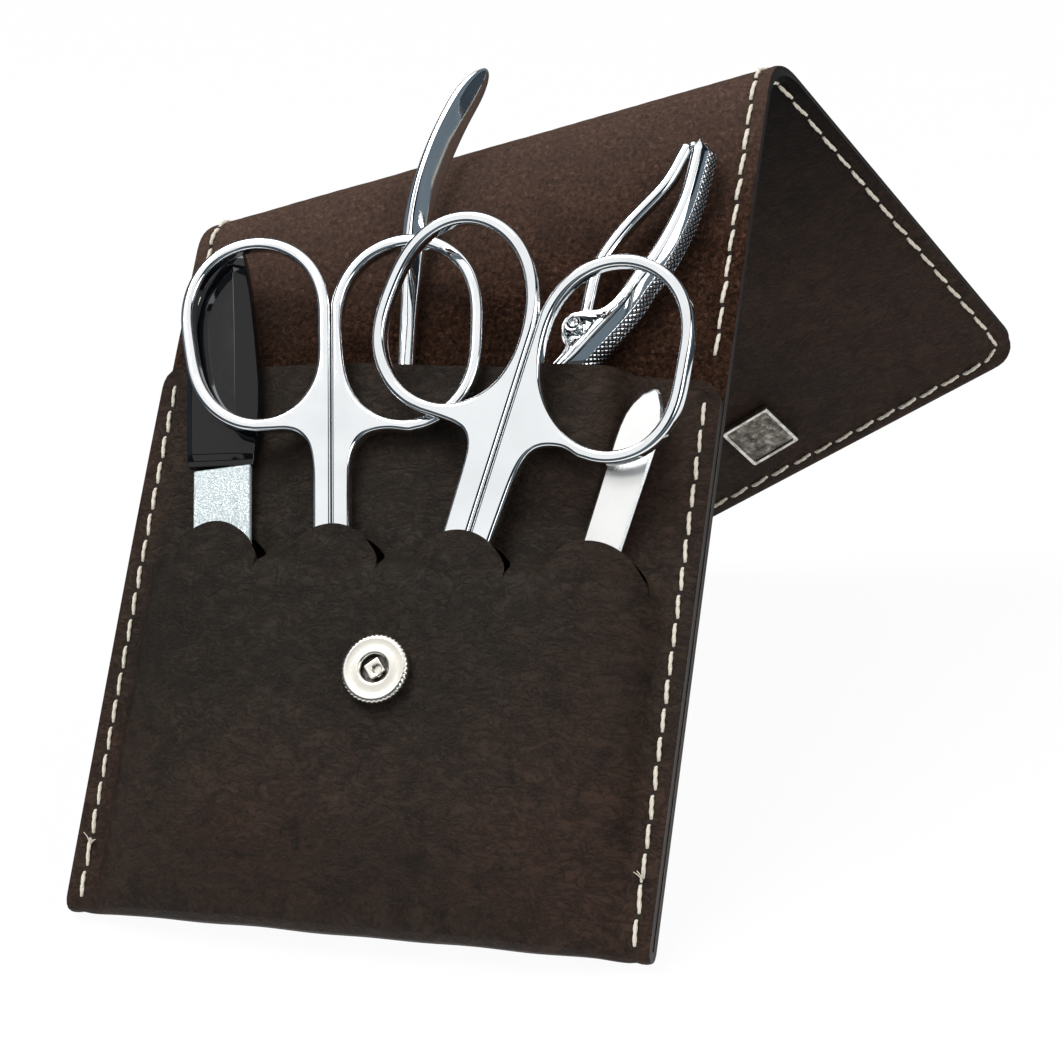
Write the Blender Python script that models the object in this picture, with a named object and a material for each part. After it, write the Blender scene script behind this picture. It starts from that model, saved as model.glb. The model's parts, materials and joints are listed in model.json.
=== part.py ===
"""Folded leather manicure case, standing open with its six tools drawn up.

One leather strip makes the whole case. It runs down the front as a pocket,
turns under at the bottom, runs up the back, turns over a slanted ridge and
hangs behind as the flap. Four half-round tabs are cut in the pocket front.
Each slim tool passes in front of the leather above its tab and slips behind
the tab into the pocket. The pusher and the nippers stand in the mouth, between
the pocket front and the back.

Case frame: u across the strip, v up the pocket, w out of the pocket front,
with w = 0 on the inner face of the back. The frame leans back until the
bottom turn and the low corner of the flap both meet the ground.
"""
import math

import bmesh
import bpy
import numpy as np
from mathutils import Matrix, Vector, geometry

MM = 0.001
GAP = 0.3 * MM
OVERRUN = 2.0 * MM

# Leather strip
CASE_WIDTH = 92.0 * MM
POCKET_HEIGHT = 88.5 * MM
RIDGE_LEFT_HEIGHT = 110.0 * MM
RIDGE_RISE = 29.2 * MM
STRIP_LENGTH = 223.0 * MM
LEATHER_THICKNESS = 2.0 * MM
SEAM_MARGIN = 4.6 * MM
MOUTH_CORNER_RADIUS = 4.0 * MM
FLAP_CORNER_RADIUS = 6.0 * MM
RIDGE_RADIUS = 6.0 * MM
RIDGE_TURN = math.radians(112.0)
BACK_SAG_LENGTH = 63.0 * MM
BACK_SAG_TURN = math.radians(3.0)
FRONT_SPACING = 3.7 * MM
BACK_SPACING = 10.0 * MM
FOLD_STEPS = 7

# How far the pocket front stands off the back
SEAM_STANDOFF = GAP
UPPER_STANDOFF = 2.9 * MM
NIPPER_CLEARANCE = 0.4 * MM
NIPPER_SWELL_HALF = 5.4 * MM
NIPPER_SWELL_FALL = 4.0 * MM
NIPPER_SWELL_RISE = 10.0 * MM
FOLD_STANDOFF = 3.0 * MM
BULGE_STANDOFF = 9.7 * MM
BULGE_RISE_HEIGHT = 24.0 * MM
UPPER_LEFT_START = 15.0 * MM
UPPER_LEFT_RUN = 19.0 * MM
UPPER_RIGHT_RUN = 24.0 * MM
LIFT_TOP = 64.4 * MM
LIFT_RUN = 13.0 * MM
SLIT_KERF = 0.4 * MM
SLIT_REACH = 5.0 * MM

# Half-round tabs: centre across, height of the tab ends, radius
TAB_RADIUS = 7.5 * MM
TAB_BASE_HEIGHT = 52.8 * MM
TAB_PITCH_SHARE = 0.216848
TAB_FIRST_SHARE = 0.190217
TAB_COUNT = 4

# Press stud on the pocket front
STUD_ACROSS_SHARE = 0.520652
STUD_U = CASE_WIDTH * STUD_ACROSS_SHARE
STUD_V = 37.8 * MM
STUD_HOLE_RADIUS = 1.7 * MM
STUD_SEAT_RADIUS = 6.4 * MM
STUD_SEAT_BLEND = 6.0 * MM
STUD_RISE = 0.03
STUD_DISC_RADIUS = 5.3 * MM
STUD_DISC_HEIGHT = 1.9 * MM
STUD_BORE_RADIUS = 2.2 * MM
STUD_FLOOR = 0.6 * MM
STUD_RIM_TEETH = 28
STUD_INSERT_SIDE = 2.9 * MM
STUD_INSERT_HEIGHT = 0.8 * MM
STUD_INSERT_BORE = 0.75 * MM
STUD_SHANK_RADIUS = 1.3 * MM
STUD_BACK_RADIUS = 3.4 * MM
STUD_BACK_HEIGHT = 0.8 * MM

# Square cap and socket on the flap
CAP_SIDE = 9.8 * MM
CAP_HEIGHT = 1.6 * MM
CAP_BORDER = 0.9 * MM
CAP_RECESS = 0.45 * MM
CAP_FROM_EDGE = 12.5 * MM
CAP_TURN = math.radians(3.0)
SOCKET_RADIUS = 5.0 * MM
SOCKET_HEIGHT = 1.1 * MM
SOCKET_KNOB_RADIUS = 1.9 * MM
SOCKET_KNOB_HEIGHT = 2.2 * MM

# Scissors, both pairs
PIVOT_TO_RINGS = 44.7 * MM
RING_SPREAD = 12.45 * MM
RING_HALF_WIDTH = 12.4 * MM
RING_HALF_HEIGHT = 16.4 * MM
RING_BAND = 2.3 * MM
RING_DEPTH = 2.8 * MM
NAIL_SHANK_HALF_WIDTH = 3.1 * MM
CUTICLE_SHANK_HALF_WIDTH = 3.7 * MM
SHANK_DEPTH = 2.6 * MM
LAP_RADIUS = 6.0 * MM
LAP_HALF_WIDTH = 3.4 * MM
BLADE_LENGTH = 27.0 * MM
NAIL_BLADE_HALF_WIDTH = 2.9 * MM
CUTICLE_BLADE_HALF_WIDTH = 2.2 * MM
SCREW_RADIUS = 1.3 * MM
SCREW_HEAD_RADIUS = 2.3 * MM
SCREW_HEAD_HEIGHT = 0.4 * MM
SCREW_SLOT = 0.45 * MM
SEAM_GAP = 0.3 * MM

# Nail file
FILE_HANDLE_LENGTH = 36.5 * MM
FILE_HANDLE_WIDTH = 12.0 * MM
FILE_HANDLE_DEPTH = 2.6 * MM
FILE_HANDLE_BEVEL = 0.8 * MM
FILE_BLADE_WIDTH = 9.4 * MM
FILE_BLADE_DEPTH = 1.0 * MM
FILE_BLADE_LENGTH = 47.0 * MM

# Nail cleaner
CLEANER_WIDTH = 6.6 * MM
CLEANER_DEPTH = 1.0 * MM
CLEANER_LENGTH = 60.0 * MM
CLEANER_POINT = 9.0 * MM
CLEANER_BEVEL = 0.35 * MM

# Cuticle pusher
PUSHER_LENGTH = 92.0 * MM
PUSHER_STEM_WIDTH = 2.9 * MM
PUSHER_STEM_DEPTH = 2.5 * MM
PUSHER_BLADE_WIDTH = 5.4 * MM
PUSHER_BLADE_DEPTH = 1.5 * MM
PUSHER_BOW = 11.0 * MM
PUSHER_BOW_SHARE = 0.52
PUSHER_FORWARD = 1.7 * MM
PUSHER_TURN = math.radians(-58.0)
PUSHER_BLADE_REACH = 26.0 * MM
PUSHER_STATION_COUNT = 22
PUSHER_SECTION_COUNT = 10

# Nippers
NIPPER_DEPTH = 4.6 * MM
NIPPER_LOBE_RADIUS = 4.2 * MM
NIPPER_GRIP_RISE = 34.0 * MM
NIPPER_GRIP_SWEEP = 15.0 * MM
NIPPER_GRIP_BAND = 2.7 * MM
NIPPER_WALL = 0.9 * MM
NIPPER_BAR_BAND = 1.4 * MM
NIPPER_BAR_DEPTH = 2.6 * MM
NIPPER_JAW_LENGTH = 21.0 * MM
NIPPER_JAW_HALF_WIDTH = 3.5 * MM
NIPPER_RIVET_RADIUS = 1.5 * MM
NIPPER_RIVET_HEAD = 2.4 * MM
NIPPER_RIVET_RISE = 0.5 * MM
NIPPER_RIDGES = 11
NIPPER_RIDGE_DEPTH = 0.45 * MM
NIPPER_CATCH_RADIUS = 0.75 * MM

SLANT = math.atan2(RIDGE_RISE, CASE_WIDTH)
ALONG = np.array([math.cos(SLANT), math.sin(SLANT)])
ACROSS = np.array([-math.sin(SLANT), math.cos(SLANT)])
RIDGE_ARC = RIDGE_RADIUS * RIDGE_TURN
HALF = LEATHER_THICKNESS / 2


def smooth(low, run, value):
    """Ease from 0 to 1 while value goes from low to low + run."""
    share = min(max((value - low) / run, 0.0), 1.0)
    return share * share * (3 - 2 * share)


def clear_scene():
    for obj in list(bpy.data.objects):
        bpy.data.objects.remove(obj, do_unlink=True)


def material(name, color, roughness, metallic=0.0):
    made = bpy.data.materials.get(name)
    if made is None:
        made = bpy.data.materials.new(name)
        made.use_nodes = True
        shader = made.node_tree.nodes["Principled BSDF"]
        shader.inputs["Base Color"].default_value = (*color, 1.0)
        shader.inputs["Roughness"].default_value = roughness
        shader.inputs["Metallic"].default_value = metallic
        made.diffuse_color = (*color, 1.0)
    return made


LEATHER = ("leather_brown", (0.055, 0.036, 0.028), 0.55, 0.0)
CHROME = ("polished_steel", (0.78, 0.79, 0.82), 0.12, 1.0)
BRUSHED = ("satin_steel", (0.62, 0.63, 0.65), 0.32, 1.0)
NICKEL = ("bright_nickel", (0.78, 0.76, 0.71), 0.24, 1.0)
ANTIQUE = ("dark_nickel", (0.33, 0.30, 0.27), 0.34, 1.0)
GLOSS = ("black_gloss", (0.012, 0.012, 0.014), 0.06, 0.0)
GRIT = ("file_grit", (0.52, 0.56, 0.56), 0.6, 0.6)


def finish(bm, name, look, parent):
    """Make one object from a bmesh whose points are in its parent's frame."""
    bmesh.ops.remove_doubles(bm, verts=bm.verts, dist=GAP / 300)
    bmesh.ops.recalc_face_normals(bm, faces=bm.faces)
    mesh = bpy.data.meshes.new(name)
    bm.to_mesh(mesh)
    bm.free()
    mesh.materials.append(material(*look))
    mesh.shade_smooth()
    mesh.set_sharp_from_angle(angle=math.radians(35))
    obj = bpy.data.objects.new(name, mesh)
    bpy.context.scene.collection.objects.link(obj)
    obj.parent = parent
    return obj


def guide(name, place=None, parent=None):
    empty = bpy.data.objects.new(name, None)
    bpy.context.scene.collection.objects.link(empty)
    empty.parent = parent
    if place is not None:
        empty.matrix_local = place
    return empty


def prism(points, low, high):
    """Closed solid from an outline in x, y and two heights in z."""
    bm = bmesh.new()
    base = [bm.verts.new((x, y, low)) for x, y in points]
    face = bm.faces.new(base)
    made = bmesh.ops.extrude_face_region(bm, geom=[face])
    lifted = [g for g in made["geom"] if isinstance(g, bmesh.types.BMVert)]
    bmesh.ops.translate(bm, verts=lifted, vec=(0, 0, high - low))
    bmesh.ops.recalc_face_normals(bm, faces=bm.faces)
    return bm


def ellipse(center, half_x, half_y, count, start=0.0):
    steps = [start + 2 * math.pi * i / count for i in range(count)]
    return [(center[0] + half_x * math.cos(a), center[1] + half_y * math.sin(a)) for a in steps]


def ease_rim(obj, width, segments=1, angle=40):
    bevel = obj.modifiers.new("Rim", "BEVEL")
    bevel.width = width
    bevel.segments = segments
    bevel.limit_method = "ANGLE"
    bevel.angle_limit = math.radians(angle)
    return bevel


def cutter(bm, name, host, operation="DIFFERENCE"):
    """Hide a tool solid in the host's frame and apply it as a Boolean."""
    tool = finish(bm, name, CHROME, host)
    tool.hide_render = True
    tool.display_type = "WIRE"
    boolean = host.modifiers.new(name, "BOOLEAN")
    boolean.operation = operation
    boolean.solver = "EXACT"
    boolean.object = tool
    return tool


# The strip's shape

def profile(run):
    """Point and slope of the strip's inner face, run past the ridge line."""
    sag_radius = BACK_SAG_LENGTH / BACK_SAG_TURN
    ridge_end = RIDGE_ARC
    if run <= -BACK_SAG_LENGTH:
        return run, 0.0, 0.0
    turn = BACK_SAG_TURN * (min(run, 0.0) + BACK_SAG_LENGTH) / BACK_SAG_LENGTH
    y = -BACK_SAG_LENGTH + sag_radius * math.sin(turn)
    z = -sag_radius * (1 - math.cos(turn))
    if run <= 0:
        return y, z, turn
    bend = turn + RIDGE_TURN * min(run, ridge_end) / ridge_end
    y += RIDGE_RADIUS * (math.sin(bend) - math.sin(turn))
    z -= RIDGE_RADIUS * (math.cos(turn) - math.cos(bend))
    past = max(run - ridge_end, 0.0)
    return y + past * math.cos(bend), z - past * math.sin(bend), bend


def bend(u, v, w):
    """Place a point of the flat strip, w off its inner face, on the bent strip."""
    offset = np.array([u, v - RIDGE_LEFT_HEIGHT])
    along = float(offset @ ALONG)
    y, z, turn = profile(float(offset @ ACROSS))
    y += w * math.sin(turn)
    z += w * math.cos(turn)
    flat = along * ALONG + y * ACROSS
    return Vector((flat[0], flat[1] + RIDGE_LEFT_HEIGHT, z))


def tab_center(index):
    return CASE_WIDTH * (TAB_FIRST_SHARE + index * TAB_PITCH_SHARE)


def upper_standoff(u, v):
    """Inner face of the pocket front where it lies behind the slim tools."""
    left = smooth(UPPER_LEFT_START, UPPER_LEFT_RUN, u)
    right = smooth(0.0, UPPER_RIGHT_RUN, CASE_WIDTH - SEAM_MARGIN - u)
    swell = 1 - smooth(NIPPER_SWELL_HALF, NIPPER_SWELL_FALL, abs(u - NIPPER_U))
    jaw_tips = NIPPER_V - NIPPER_JAW_LENGTH
    swell *= smooth(jaw_tips - NIPPER_SWELL_RISE, NIPPER_SWELL_RISE, v)
    low = SEAM_STANDOFF + UPPER_STANDOFF * left * right
    high = NIPPER_W + NIPPER_DEPTH / 2 + NIPPER_CLEARANCE
    return low + (high - low) * swell


def lower_standoff(u, v):
    """Inner face of the pocket front where it covers the slim tools."""
    middle = CASE_WIDTH / 2
    off = min(abs(u - middle) / (middle - SEAM_MARGIN), 1.0)
    across = (1 - off ** 3.4) ** 0.64
    rise = smooth(-BULGE_RISE_HEIGHT / 4, BULGE_RISE_HEIGHT, v)
    height = FOLD_STANDOFF + (BULGE_STANDOFF - FOLD_STANDOFF) * rise
    height *= 1 - 0.1 * smooth(0.0, BULGE_RISE_HEIGHT, LIFT_TOP - LIFT_RUN - v)
    return SEAM_STANDOFF + height * across


def standoff(u, v, side=None):
    """Inner face of the pocket front; side is a slit's index and which lip."""
    lift = 1 - smooth(LIFT_TOP - LIFT_RUN, LIFT_RUN, v)
    for index in range(TAB_COUNT):
        du = u - tab_center(index)
        dv = v - TAB_BASE_HEIGHT
        reach = math.hypot(du, dv)
        steep = smooth(0.0, 0.7, dv / reach if reach > 0 else 0.0)
        near = math.exp(-(((reach - TAB_RADIUS) / SLIT_REACH) ** 2))
        if side is not None and side[0] == index:
            inside = side[1] == "tab"
            near = 1.0
        else:
            inside = reach < TAB_RADIUS
        if inside:
            lift += (1 - lift) * steep
        else:
            lift *= 1 - steep * near
    low = upper_standoff(u, v)
    high = lower_standoff(u, v)
    height = low + (high - low) * lift
    away = math.hypot(u - STUD_U, v - STUD_V)
    seat = 1 - smooth(STUD_SEAT_RADIUS, STUD_SEAT_BLEND, away)
    if seat > 0:
        flat = lower_standoff(STUD_U, STUD_V) + STUD_RISE * (v - STUD_V)
        height += (flat - height) * seat
    return height


def strip_point(u, s, side=None):
    """Middle of the case leather; s runs down the front, round and up the back."""
    base = fold_base(u)
    front_run = POCKET_HEIGHT - FOLD_LINE
    if s <= front_run:
        v = POCKET_HEIGHT - s
        low = base - FOLD_LINE
        share = 1 - smooth(0.0, FOLD_LINE * 3, v - FOLD_LINE)
        v += low * share
        return bend(u, v, standoff(u, max(v, base), side) + HALF)
    over = s - front_run
    radius = (standoff(u, base) + LEATHER_THICKNESS) / 2
    if over < FOLD_RUN:
        turn = math.pi * over / FOLD_RUN
        w = radius - LEATHER_THICKNESS / 2 + radius * math.cos(turn)
        return bend(u, base - radius * math.sin(turn), w)
    v = FOLD_LINE + over - FOLD_RUN
    share = 1 - smooth(0.0, FOLD_LINE * 3, v - FOLD_LINE)
    return bend(u, v + (base - FOLD_LINE) * share, -HALF)


def fold_base(u):
    """Height where the bottom turn starts, so its underside is level."""
    radius = (standoff(u, FOLD_LINE) + LEATHER_THICKNESS) / 2
    return radius + HALF


def back_run(u, v):
    return POCKET_HEIGHT - FOLD_LINE + FOLD_RUN + v - FOLD_LINE


FOLD_LINE = (FOLD_STANDOFF + LEATHER_THICKNESS) / 2 + HALF
FOLD_RUN = math.pi * (FOLD_STANDOFF + LEATHER_THICKNESS) / 2


def rounded(points, radii, steps=5):
    """Polygon with some corners rounded; a radius of 0 keeps the corner."""
    out = []
    count = len(points)
    for i, radius in enumerate(radii):
        corner = np.array(points[i])
        if radius <= 0:
            out.append(tuple(corner))
            continue
        to_prev = np.array(points[i - 1]) - corner
        to_next = np.array(points[(i + 1) % count]) - corner
        to_prev /= np.linalg.norm(to_prev)
        to_next /= np.linalg.norm(to_next)
        half_angle = math.acos(float(np.clip(to_prev @ to_next, -1, 1))) / 2
        middle = to_prev + to_next
        middle /= np.linalg.norm(middle)
        center = corner + middle * radius / math.sin(half_angle)
        first = corner + to_prev * radius / math.tan(half_angle) - center
        last = corner + to_next * radius / math.tan(half_angle) - center
        a0 = math.atan2(first[1], first[0])
        a1 = math.atan2(last[1], last[0])
        sweep = (a1 - a0 + math.pi) % (2 * math.pi) - math.pi
        for k in range(steps + 1):
            a = a0 + sweep * k / steps
            out.append((center[0] + radius * math.cos(a), center[1] + radius * math.sin(a)))
    return out


def divided(points, spacing):
    """Add points along a polygon's sides so that none is longer than spacing."""
    out = []
    for i, point in enumerate(points):
        a = np.array(point)
        b = np.array(points[(i + 1) % len(points)])
        parts = max(1, math.ceil(float(np.linalg.norm(b - a)) / spacing - 0.2))
        out += [tuple(a + (b - a) * k / parts) for k in range(parts)]
    return out


def inside_outline(point, outline):
    x, y = point
    hit = False
    for i, (x0, y0) in enumerate(outline):
        x1, y1 = outline[i - 1]
        if (y0 > y) != (y1 > y) and x < (x1 - x0) * (y - y0) / (y1 - y0) + x0:
            hit = not hit
    return hit


def leather_sheet(outline, fill, holes, slits, place, half):
    """Triangulate a flat pattern and give it thickness about its bent middle.

    place(u, s, side) is the middle surface. Each slit is (points, center,
    radius); its inner points are doubled, one for each lip of the cut.
    """
    points = list(outline)
    edges = [(i, (i + 1) % len(outline)) for i in range(len(outline))]
    for hole in holes:
        first = len(points)
        points += hole
        edges += [(first + i, first + (i + 1) % len(hole)) for i in range(len(hole))]
    slit_of = {}
    for index, (line, center, radius) in enumerate(slits):
        first = len(points)
        points += line
        edges += [(first + i, first + i + 1) for i in range(len(line) - 1)]
        for i in range(1, len(line) - 1):
            slit_of[first + i] = index
    fixed = np.array(points)
    for point in fill:
        if float(np.min(np.linalg.norm(fixed - np.array(point), axis=1))) > FRONT_SPACING * 0.3:
            if inside_outline(point, outline):
                points.append(point)
    flat = [Vector((p[0] / MM, p[1] / MM)) for p in points]
    found = geometry.delaunay_2d_cdt(flat, edges, [], 0, 1e-5, True)
    verts, _, faces, origin = found[0], found[1], found[2], found[3]
    spots = [(p[0] * MM, p[1] * MM) for p in verts]
    slit_vert = {}
    for i, sources in enumerate(origin):
        for source in sources:
            if source in slit_of:
                slit_vert[i] = slit_of[source]
    bm = bmesh.new()
    made = {}

    def corner(i, side):
        key = (i, side)
        if key not in made:
            u, s = spots[i]
            step = FRONT_SPACING / 20
            if side is not None:
                center = slits[side[0]][1]
                away = np.array([u, s]) - np.array(center)
                away /= np.linalg.norm(away)
                ease = min(1.0, 2.5 * abs(float(away[1])))
                shift = SLIT_KERF / 2 * ease * (-1 if side[1] == "tab" else 1)
                u += shift * float(away[0])
                s += shift * float(away[1])
            middle = place(u, s, side)
            du = place(u + step, s, side) - place(u - step, s, side)
            ds = place(u, s - step, side) - place(u, s + step, side)
            normal = du.cross(ds).normalized()
            made[key] = (bm.verts.new(middle + normal * half), bm.verts.new(middle - normal * half))
        return made[key]

    used = {}
    for face in faces:
        middle = np.mean([spots[i] for i in face], axis=0)
        if not inside_outline(middle, outline):
            continue
        if any(inside_outline(middle, hole) for hole in holes):
            continue
        keys = []
        for i in face:
            side = None
            if i in slit_vert:
                index = slit_vert[i]
                _, center, radius = slits[index]
                chord = math.cos(math.pi / (len(slits[index][0]) - 1) / 2)
                near = float(np.linalg.norm(middle - np.array(center))) < radius * chord
                side = (index, "tab" if near else "upper")
            keys.append((i, side))
        pair = [corner(*key) for key in keys]
        bm.faces.new([p[0] for p in pair])
        bm.faces.new([p[1] for p in reversed(pair)])
        for a in range(3):
            edge = (keys[a], keys[(a + 1) % 3])
            flipped = (edge[1], edge[0])
            if flipped in used:
                del used[flipped]
            else:
                used[edge] = True
    for a, b in used:
        top_a, low_a = corner(*a)
        top_b, low_b = corner(*b)
        bm.faces.new([top_a, low_a, low_b, top_b])
    return bm


def grid_fill(low_u, high_u, low_s, high_s, spacing):
    """Staggered points that fill a rectangle of the pattern."""
    rows = max(1, round((high_s - low_s) / (spacing * 0.9)))
    out = []
    for j in range(rows + 1):
        s = low_s + (high_s - low_s) * j / rows
        count = max(1, round((high_u - low_u) / spacing))
        shift = 0.5 if j % 2 else 0.0
        for i in range(count + 1):
            u = low_u + (high_u - low_u) * (i + shift) / count
            if u < high_u:
                out.append((u, s))
    return out


def build_case_leather(parent):
    front_run = POCKET_HEIGHT - FOLD_LINE
    left_end = back_run(0.0, RIDGE_LEFT_HEIGHT)
    right_end = back_run(CASE_WIDTH, RIDGE_LEFT_HEIGHT + RIDGE_RISE)
    corners = [(0.0, 0.0), (CASE_WIDTH, 0.0), (CASE_WIDTH, front_run)]
    corners += [(CASE_WIDTH, front_run + FOLD_RUN * k / FOLD_STEPS) for k in range(1, FOLD_STEPS + 1)]
    corners += [(CASE_WIDTH, right_end), (0.0, left_end)]
    corners += [(0.0, front_run + FOLD_RUN * k / FOLD_STEPS) for k in range(FOLD_STEPS, -1, -1)]
    mouth = [MOUTH_CORNER_RADIUS, MOUTH_CORNER_RADIUS]
    radii = mouth + [0] * len(corners[len(mouth):])
    outline = rounded(corners, radii, steps=4)
    outline = divided(outline, FRONT_SPACING * 0.9)
    columns = round(CASE_WIDTH / FRONT_SPACING)
    rows = round(front_run / FRONT_SPACING)
    heights = [front_run * k / rows for k in range(1, rows)]
    heights += [front_run + FOLD_RUN * k / FOLD_STEPS for k in range(FOLD_STEPS + 1)]
    shares = [i / columns for i in range(1, columns)]
    crowded = [CASE_WIDTH * (t - 0.07 * math.sin(2 * math.pi * t)) for t in shares]
    fill = [(u, s) for s in heights for u in crowded]
    low = front_run + FOLD_RUN
    fill += grid_fill(SEAM_MARGIN, CASE_WIDTH, low + BACK_SPACING / 2, right_end, BACK_SPACING)
    limit = [(u, s) for u, s in fill if s < left_end + RIDGE_RISE * u / CASE_WIDTH - SEAM_MARGIN / 2]
    hole = ellipse((STUD_U, POCKET_HEIGHT - STUD_V), STUD_HOLE_RADIUS, STUD_HOLE_RADIUS, 12)
    slits = []
    for index in range(TAB_COUNT):
        center = (tab_center(index), POCKET_HEIGHT - TAB_BASE_HEIGHT)
        angles = [math.pi * k / 12 for k in range(13)]
        line = [(center[0] + TAB_RADIUS * math.cos(a), center[1] - TAB_RADIUS * math.sin(a)) for a in angles]
        slits.append((line, center, TAB_RADIUS))
    bm = leather_sheet(outline, limit, [hole], slits, strip_point, HALF)
    return finish(bm, "case_leather", LEATHER, parent)


def ridge_axis():
    """A point on the centre line of the ridge turn, and its direction."""
    _, _, turn = profile(0.0)
    y = -RIDGE_RADIUS * math.sin(turn)
    z = -RIDGE_RADIUS * math.cos(turn)
    y0, z0, _ = profile(0.0)
    middle = CASE_WIDTH / 2
    on_ridge = RIDGE_LEFT_HEIGHT + RIDGE_RISE / 2
    along = float(np.array([middle, on_ridge - RIDGE_LEFT_HEIGHT]) @ ALONG)
    flat = along * ALONG + (y + y0) * ACROSS
    point = Vector((flat[0], flat[1] + RIDGE_LEFT_HEIGHT, z + z0))
    return point, Vector((ALONG[0], ALONG[1], 0.0))


def build_ridge_leather(parent):
    """The turned ridge between the back and the flap, as a bent band."""
    steps = 9
    columns = 8
    bm = bmesh.new()
    low = GAP * 1.5
    high = RIDGE_ARC - GAP * 1.5
    rows = []
    for k in range(steps + 1):
        run = low + (high - low) * k / steps
        row = []
        for i in range(columns + 1):
            u = CASE_WIDTH * i / columns
            v = RIDGE_LEFT_HEIGHT + (run + u * math.sin(SLANT)) / math.cos(SLANT)
            row.append((bm.verts.new(bend(u, v, 0.0)), bm.verts.new(bend(u, v, -LEATHER_THICKNESS))))
        rows.append(row)
    for k in range(steps):
        for i in range(columns):
            a, b, c, d = rows[k][i], rows[k][i + 1], rows[k + 1][i + 1], rows[k + 1][i]
            bm.faces.new([a[0], b[0], c[0], d[0]])
            bm.faces.new([d[1], c[1], b[1], a[1]])
    for row, nxt in ((rows[0], 1), (rows[-1], -1)):
        for i in range(columns):
            bm.faces.new([row[i][1], row[i + 1][1], row[i + 1][0], row[i][0]][::nxt])
    for k in range(steps):
        for i, order in ((0, -1), (columns, 1)):
            a, d = rows[k][i], rows[k + 1][i]
            bm.faces.new([a[0], a[1], d[1], d[0]][::order])
    return finish(bm, "ridge_leather", LEATHER, parent)


def flap_place(u, s, side=None):
    return bend(u, s, -HALF)


def build_flap_leather(parent):
    """The flap, flat beyond the ridge, with its low corners rounded."""
    start = RIDGE_ARC / math.cos(SLANT)
    left = RIDGE_LEFT_HEIGHT + start
    right = left + RIDGE_RISE
    corners = [(0.0, left), (CASE_WIDTH, right), (CASE_WIDTH, STRIP_LENGTH), (0.0, STRIP_LENGTH)]
    outline = rounded(corners, [0, 0, FLAP_CORNER_RADIUS, FLAP_CORNER_RADIUS], steps=6)
    hole = ellipse((CASE_WIDTH / 2, STRIP_LENGTH - CAP_FROM_EDGE), STUD_HOLE_RADIUS, STUD_HOLE_RADIUS, 12)
    bm = leather_sheet(outline, [], [hole], [], flap_place, HALF)
    return finish(bm, "flap_leather", LEATHER, parent)


def local_frame(u, v, w, lean, tilt, roll=0.0):
    """Matrix in the case frame: y runs up the tool, z out of the pocket.

    lean turns the tool in the pocket's plane, tilt brings its top forward
    and roll lifts its left side.
    """
    turn = Matrix.Rotation(-lean, 4, "Z") @ Matrix.Rotation(tilt, 4, "X") @ Matrix.Rotation(roll, 4, "Y")
    return Matrix.Translation((u, v, w)) @ turn


def disc(radius, low, high, count=32):
    return prism(ellipse((0, 0), radius, radius, count), low, high)


def build_stud(case):
    """Press stud: knurled disc in front, square insert, rivet behind."""
    inner = standoff(STUD_U, STUD_V)
    seat = bend(STUD_U, STUD_V, inner + LEATHER_THICKNESS)
    tilt = -math.atan(STUD_RISE)
    place = Matrix.Translation(seat) @ Matrix.Rotation(tilt * -1, 4, "X")
    frame = guide("stud_frame", place, case)
    count = STUD_RIM_TEETH * 2
    tooth = STUD_DISC_RADIUS * 0.03
    rim = []
    for i in range(count):
        a = 2 * math.pi * i / count
        r = STUD_DISC_RADIUS - (tooth if i % 2 else 0.0)
        rim.append((r * math.cos(a), r * math.sin(a)))
    body = finish(prism(rim, GAP, STUD_DISC_HEIGHT), "stud_disc", NICKEL, frame)
    well = disc(STUD_BORE_RADIUS, GAP + STUD_FLOOR, STUD_DISC_HEIGHT + OVERRUN, 24)
    cutter(well, "stud_disc_well", body)
    through = disc(STUD_SHANK_RADIUS + GAP, -OVERRUN, STUD_DISC_HEIGHT, 16)
    cutter(through, "stud_disc_bore", body)
    half = STUD_INSERT_SIDE / 2
    square = rounded([(-half, -half), (half, -half), (half, half), (-half, half)], [half / 4] * 4, 2)
    bottom = GAP + STUD_FLOOR + GAP
    insert = finish(prism(square, bottom, bottom + STUD_INSERT_HEIGHT), "stud_insert", NICKEL, frame)
    insert.rotation_euler = (0, 0, math.radians(22))
    cutter(disc(STUD_INSERT_BORE, 0.0, STUD_DISC_HEIGHT, 12), "stud_insert_bore", insert)
    back = -LEATHER_THICKNESS - GAP
    rivet = finish(disc(STUD_BACK_RADIUS, back - STUD_BACK_HEIGHT, back, 24), "stud_rivet", NICKEL, frame)
    shank = disc(STUD_SHANK_RADIUS, back - STUD_BACK_HEIGHT / 2, bottom - GAP, 16)
    cutter(shank, "stud_rivet_shank", rivet, "UNION")
    return frame


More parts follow.
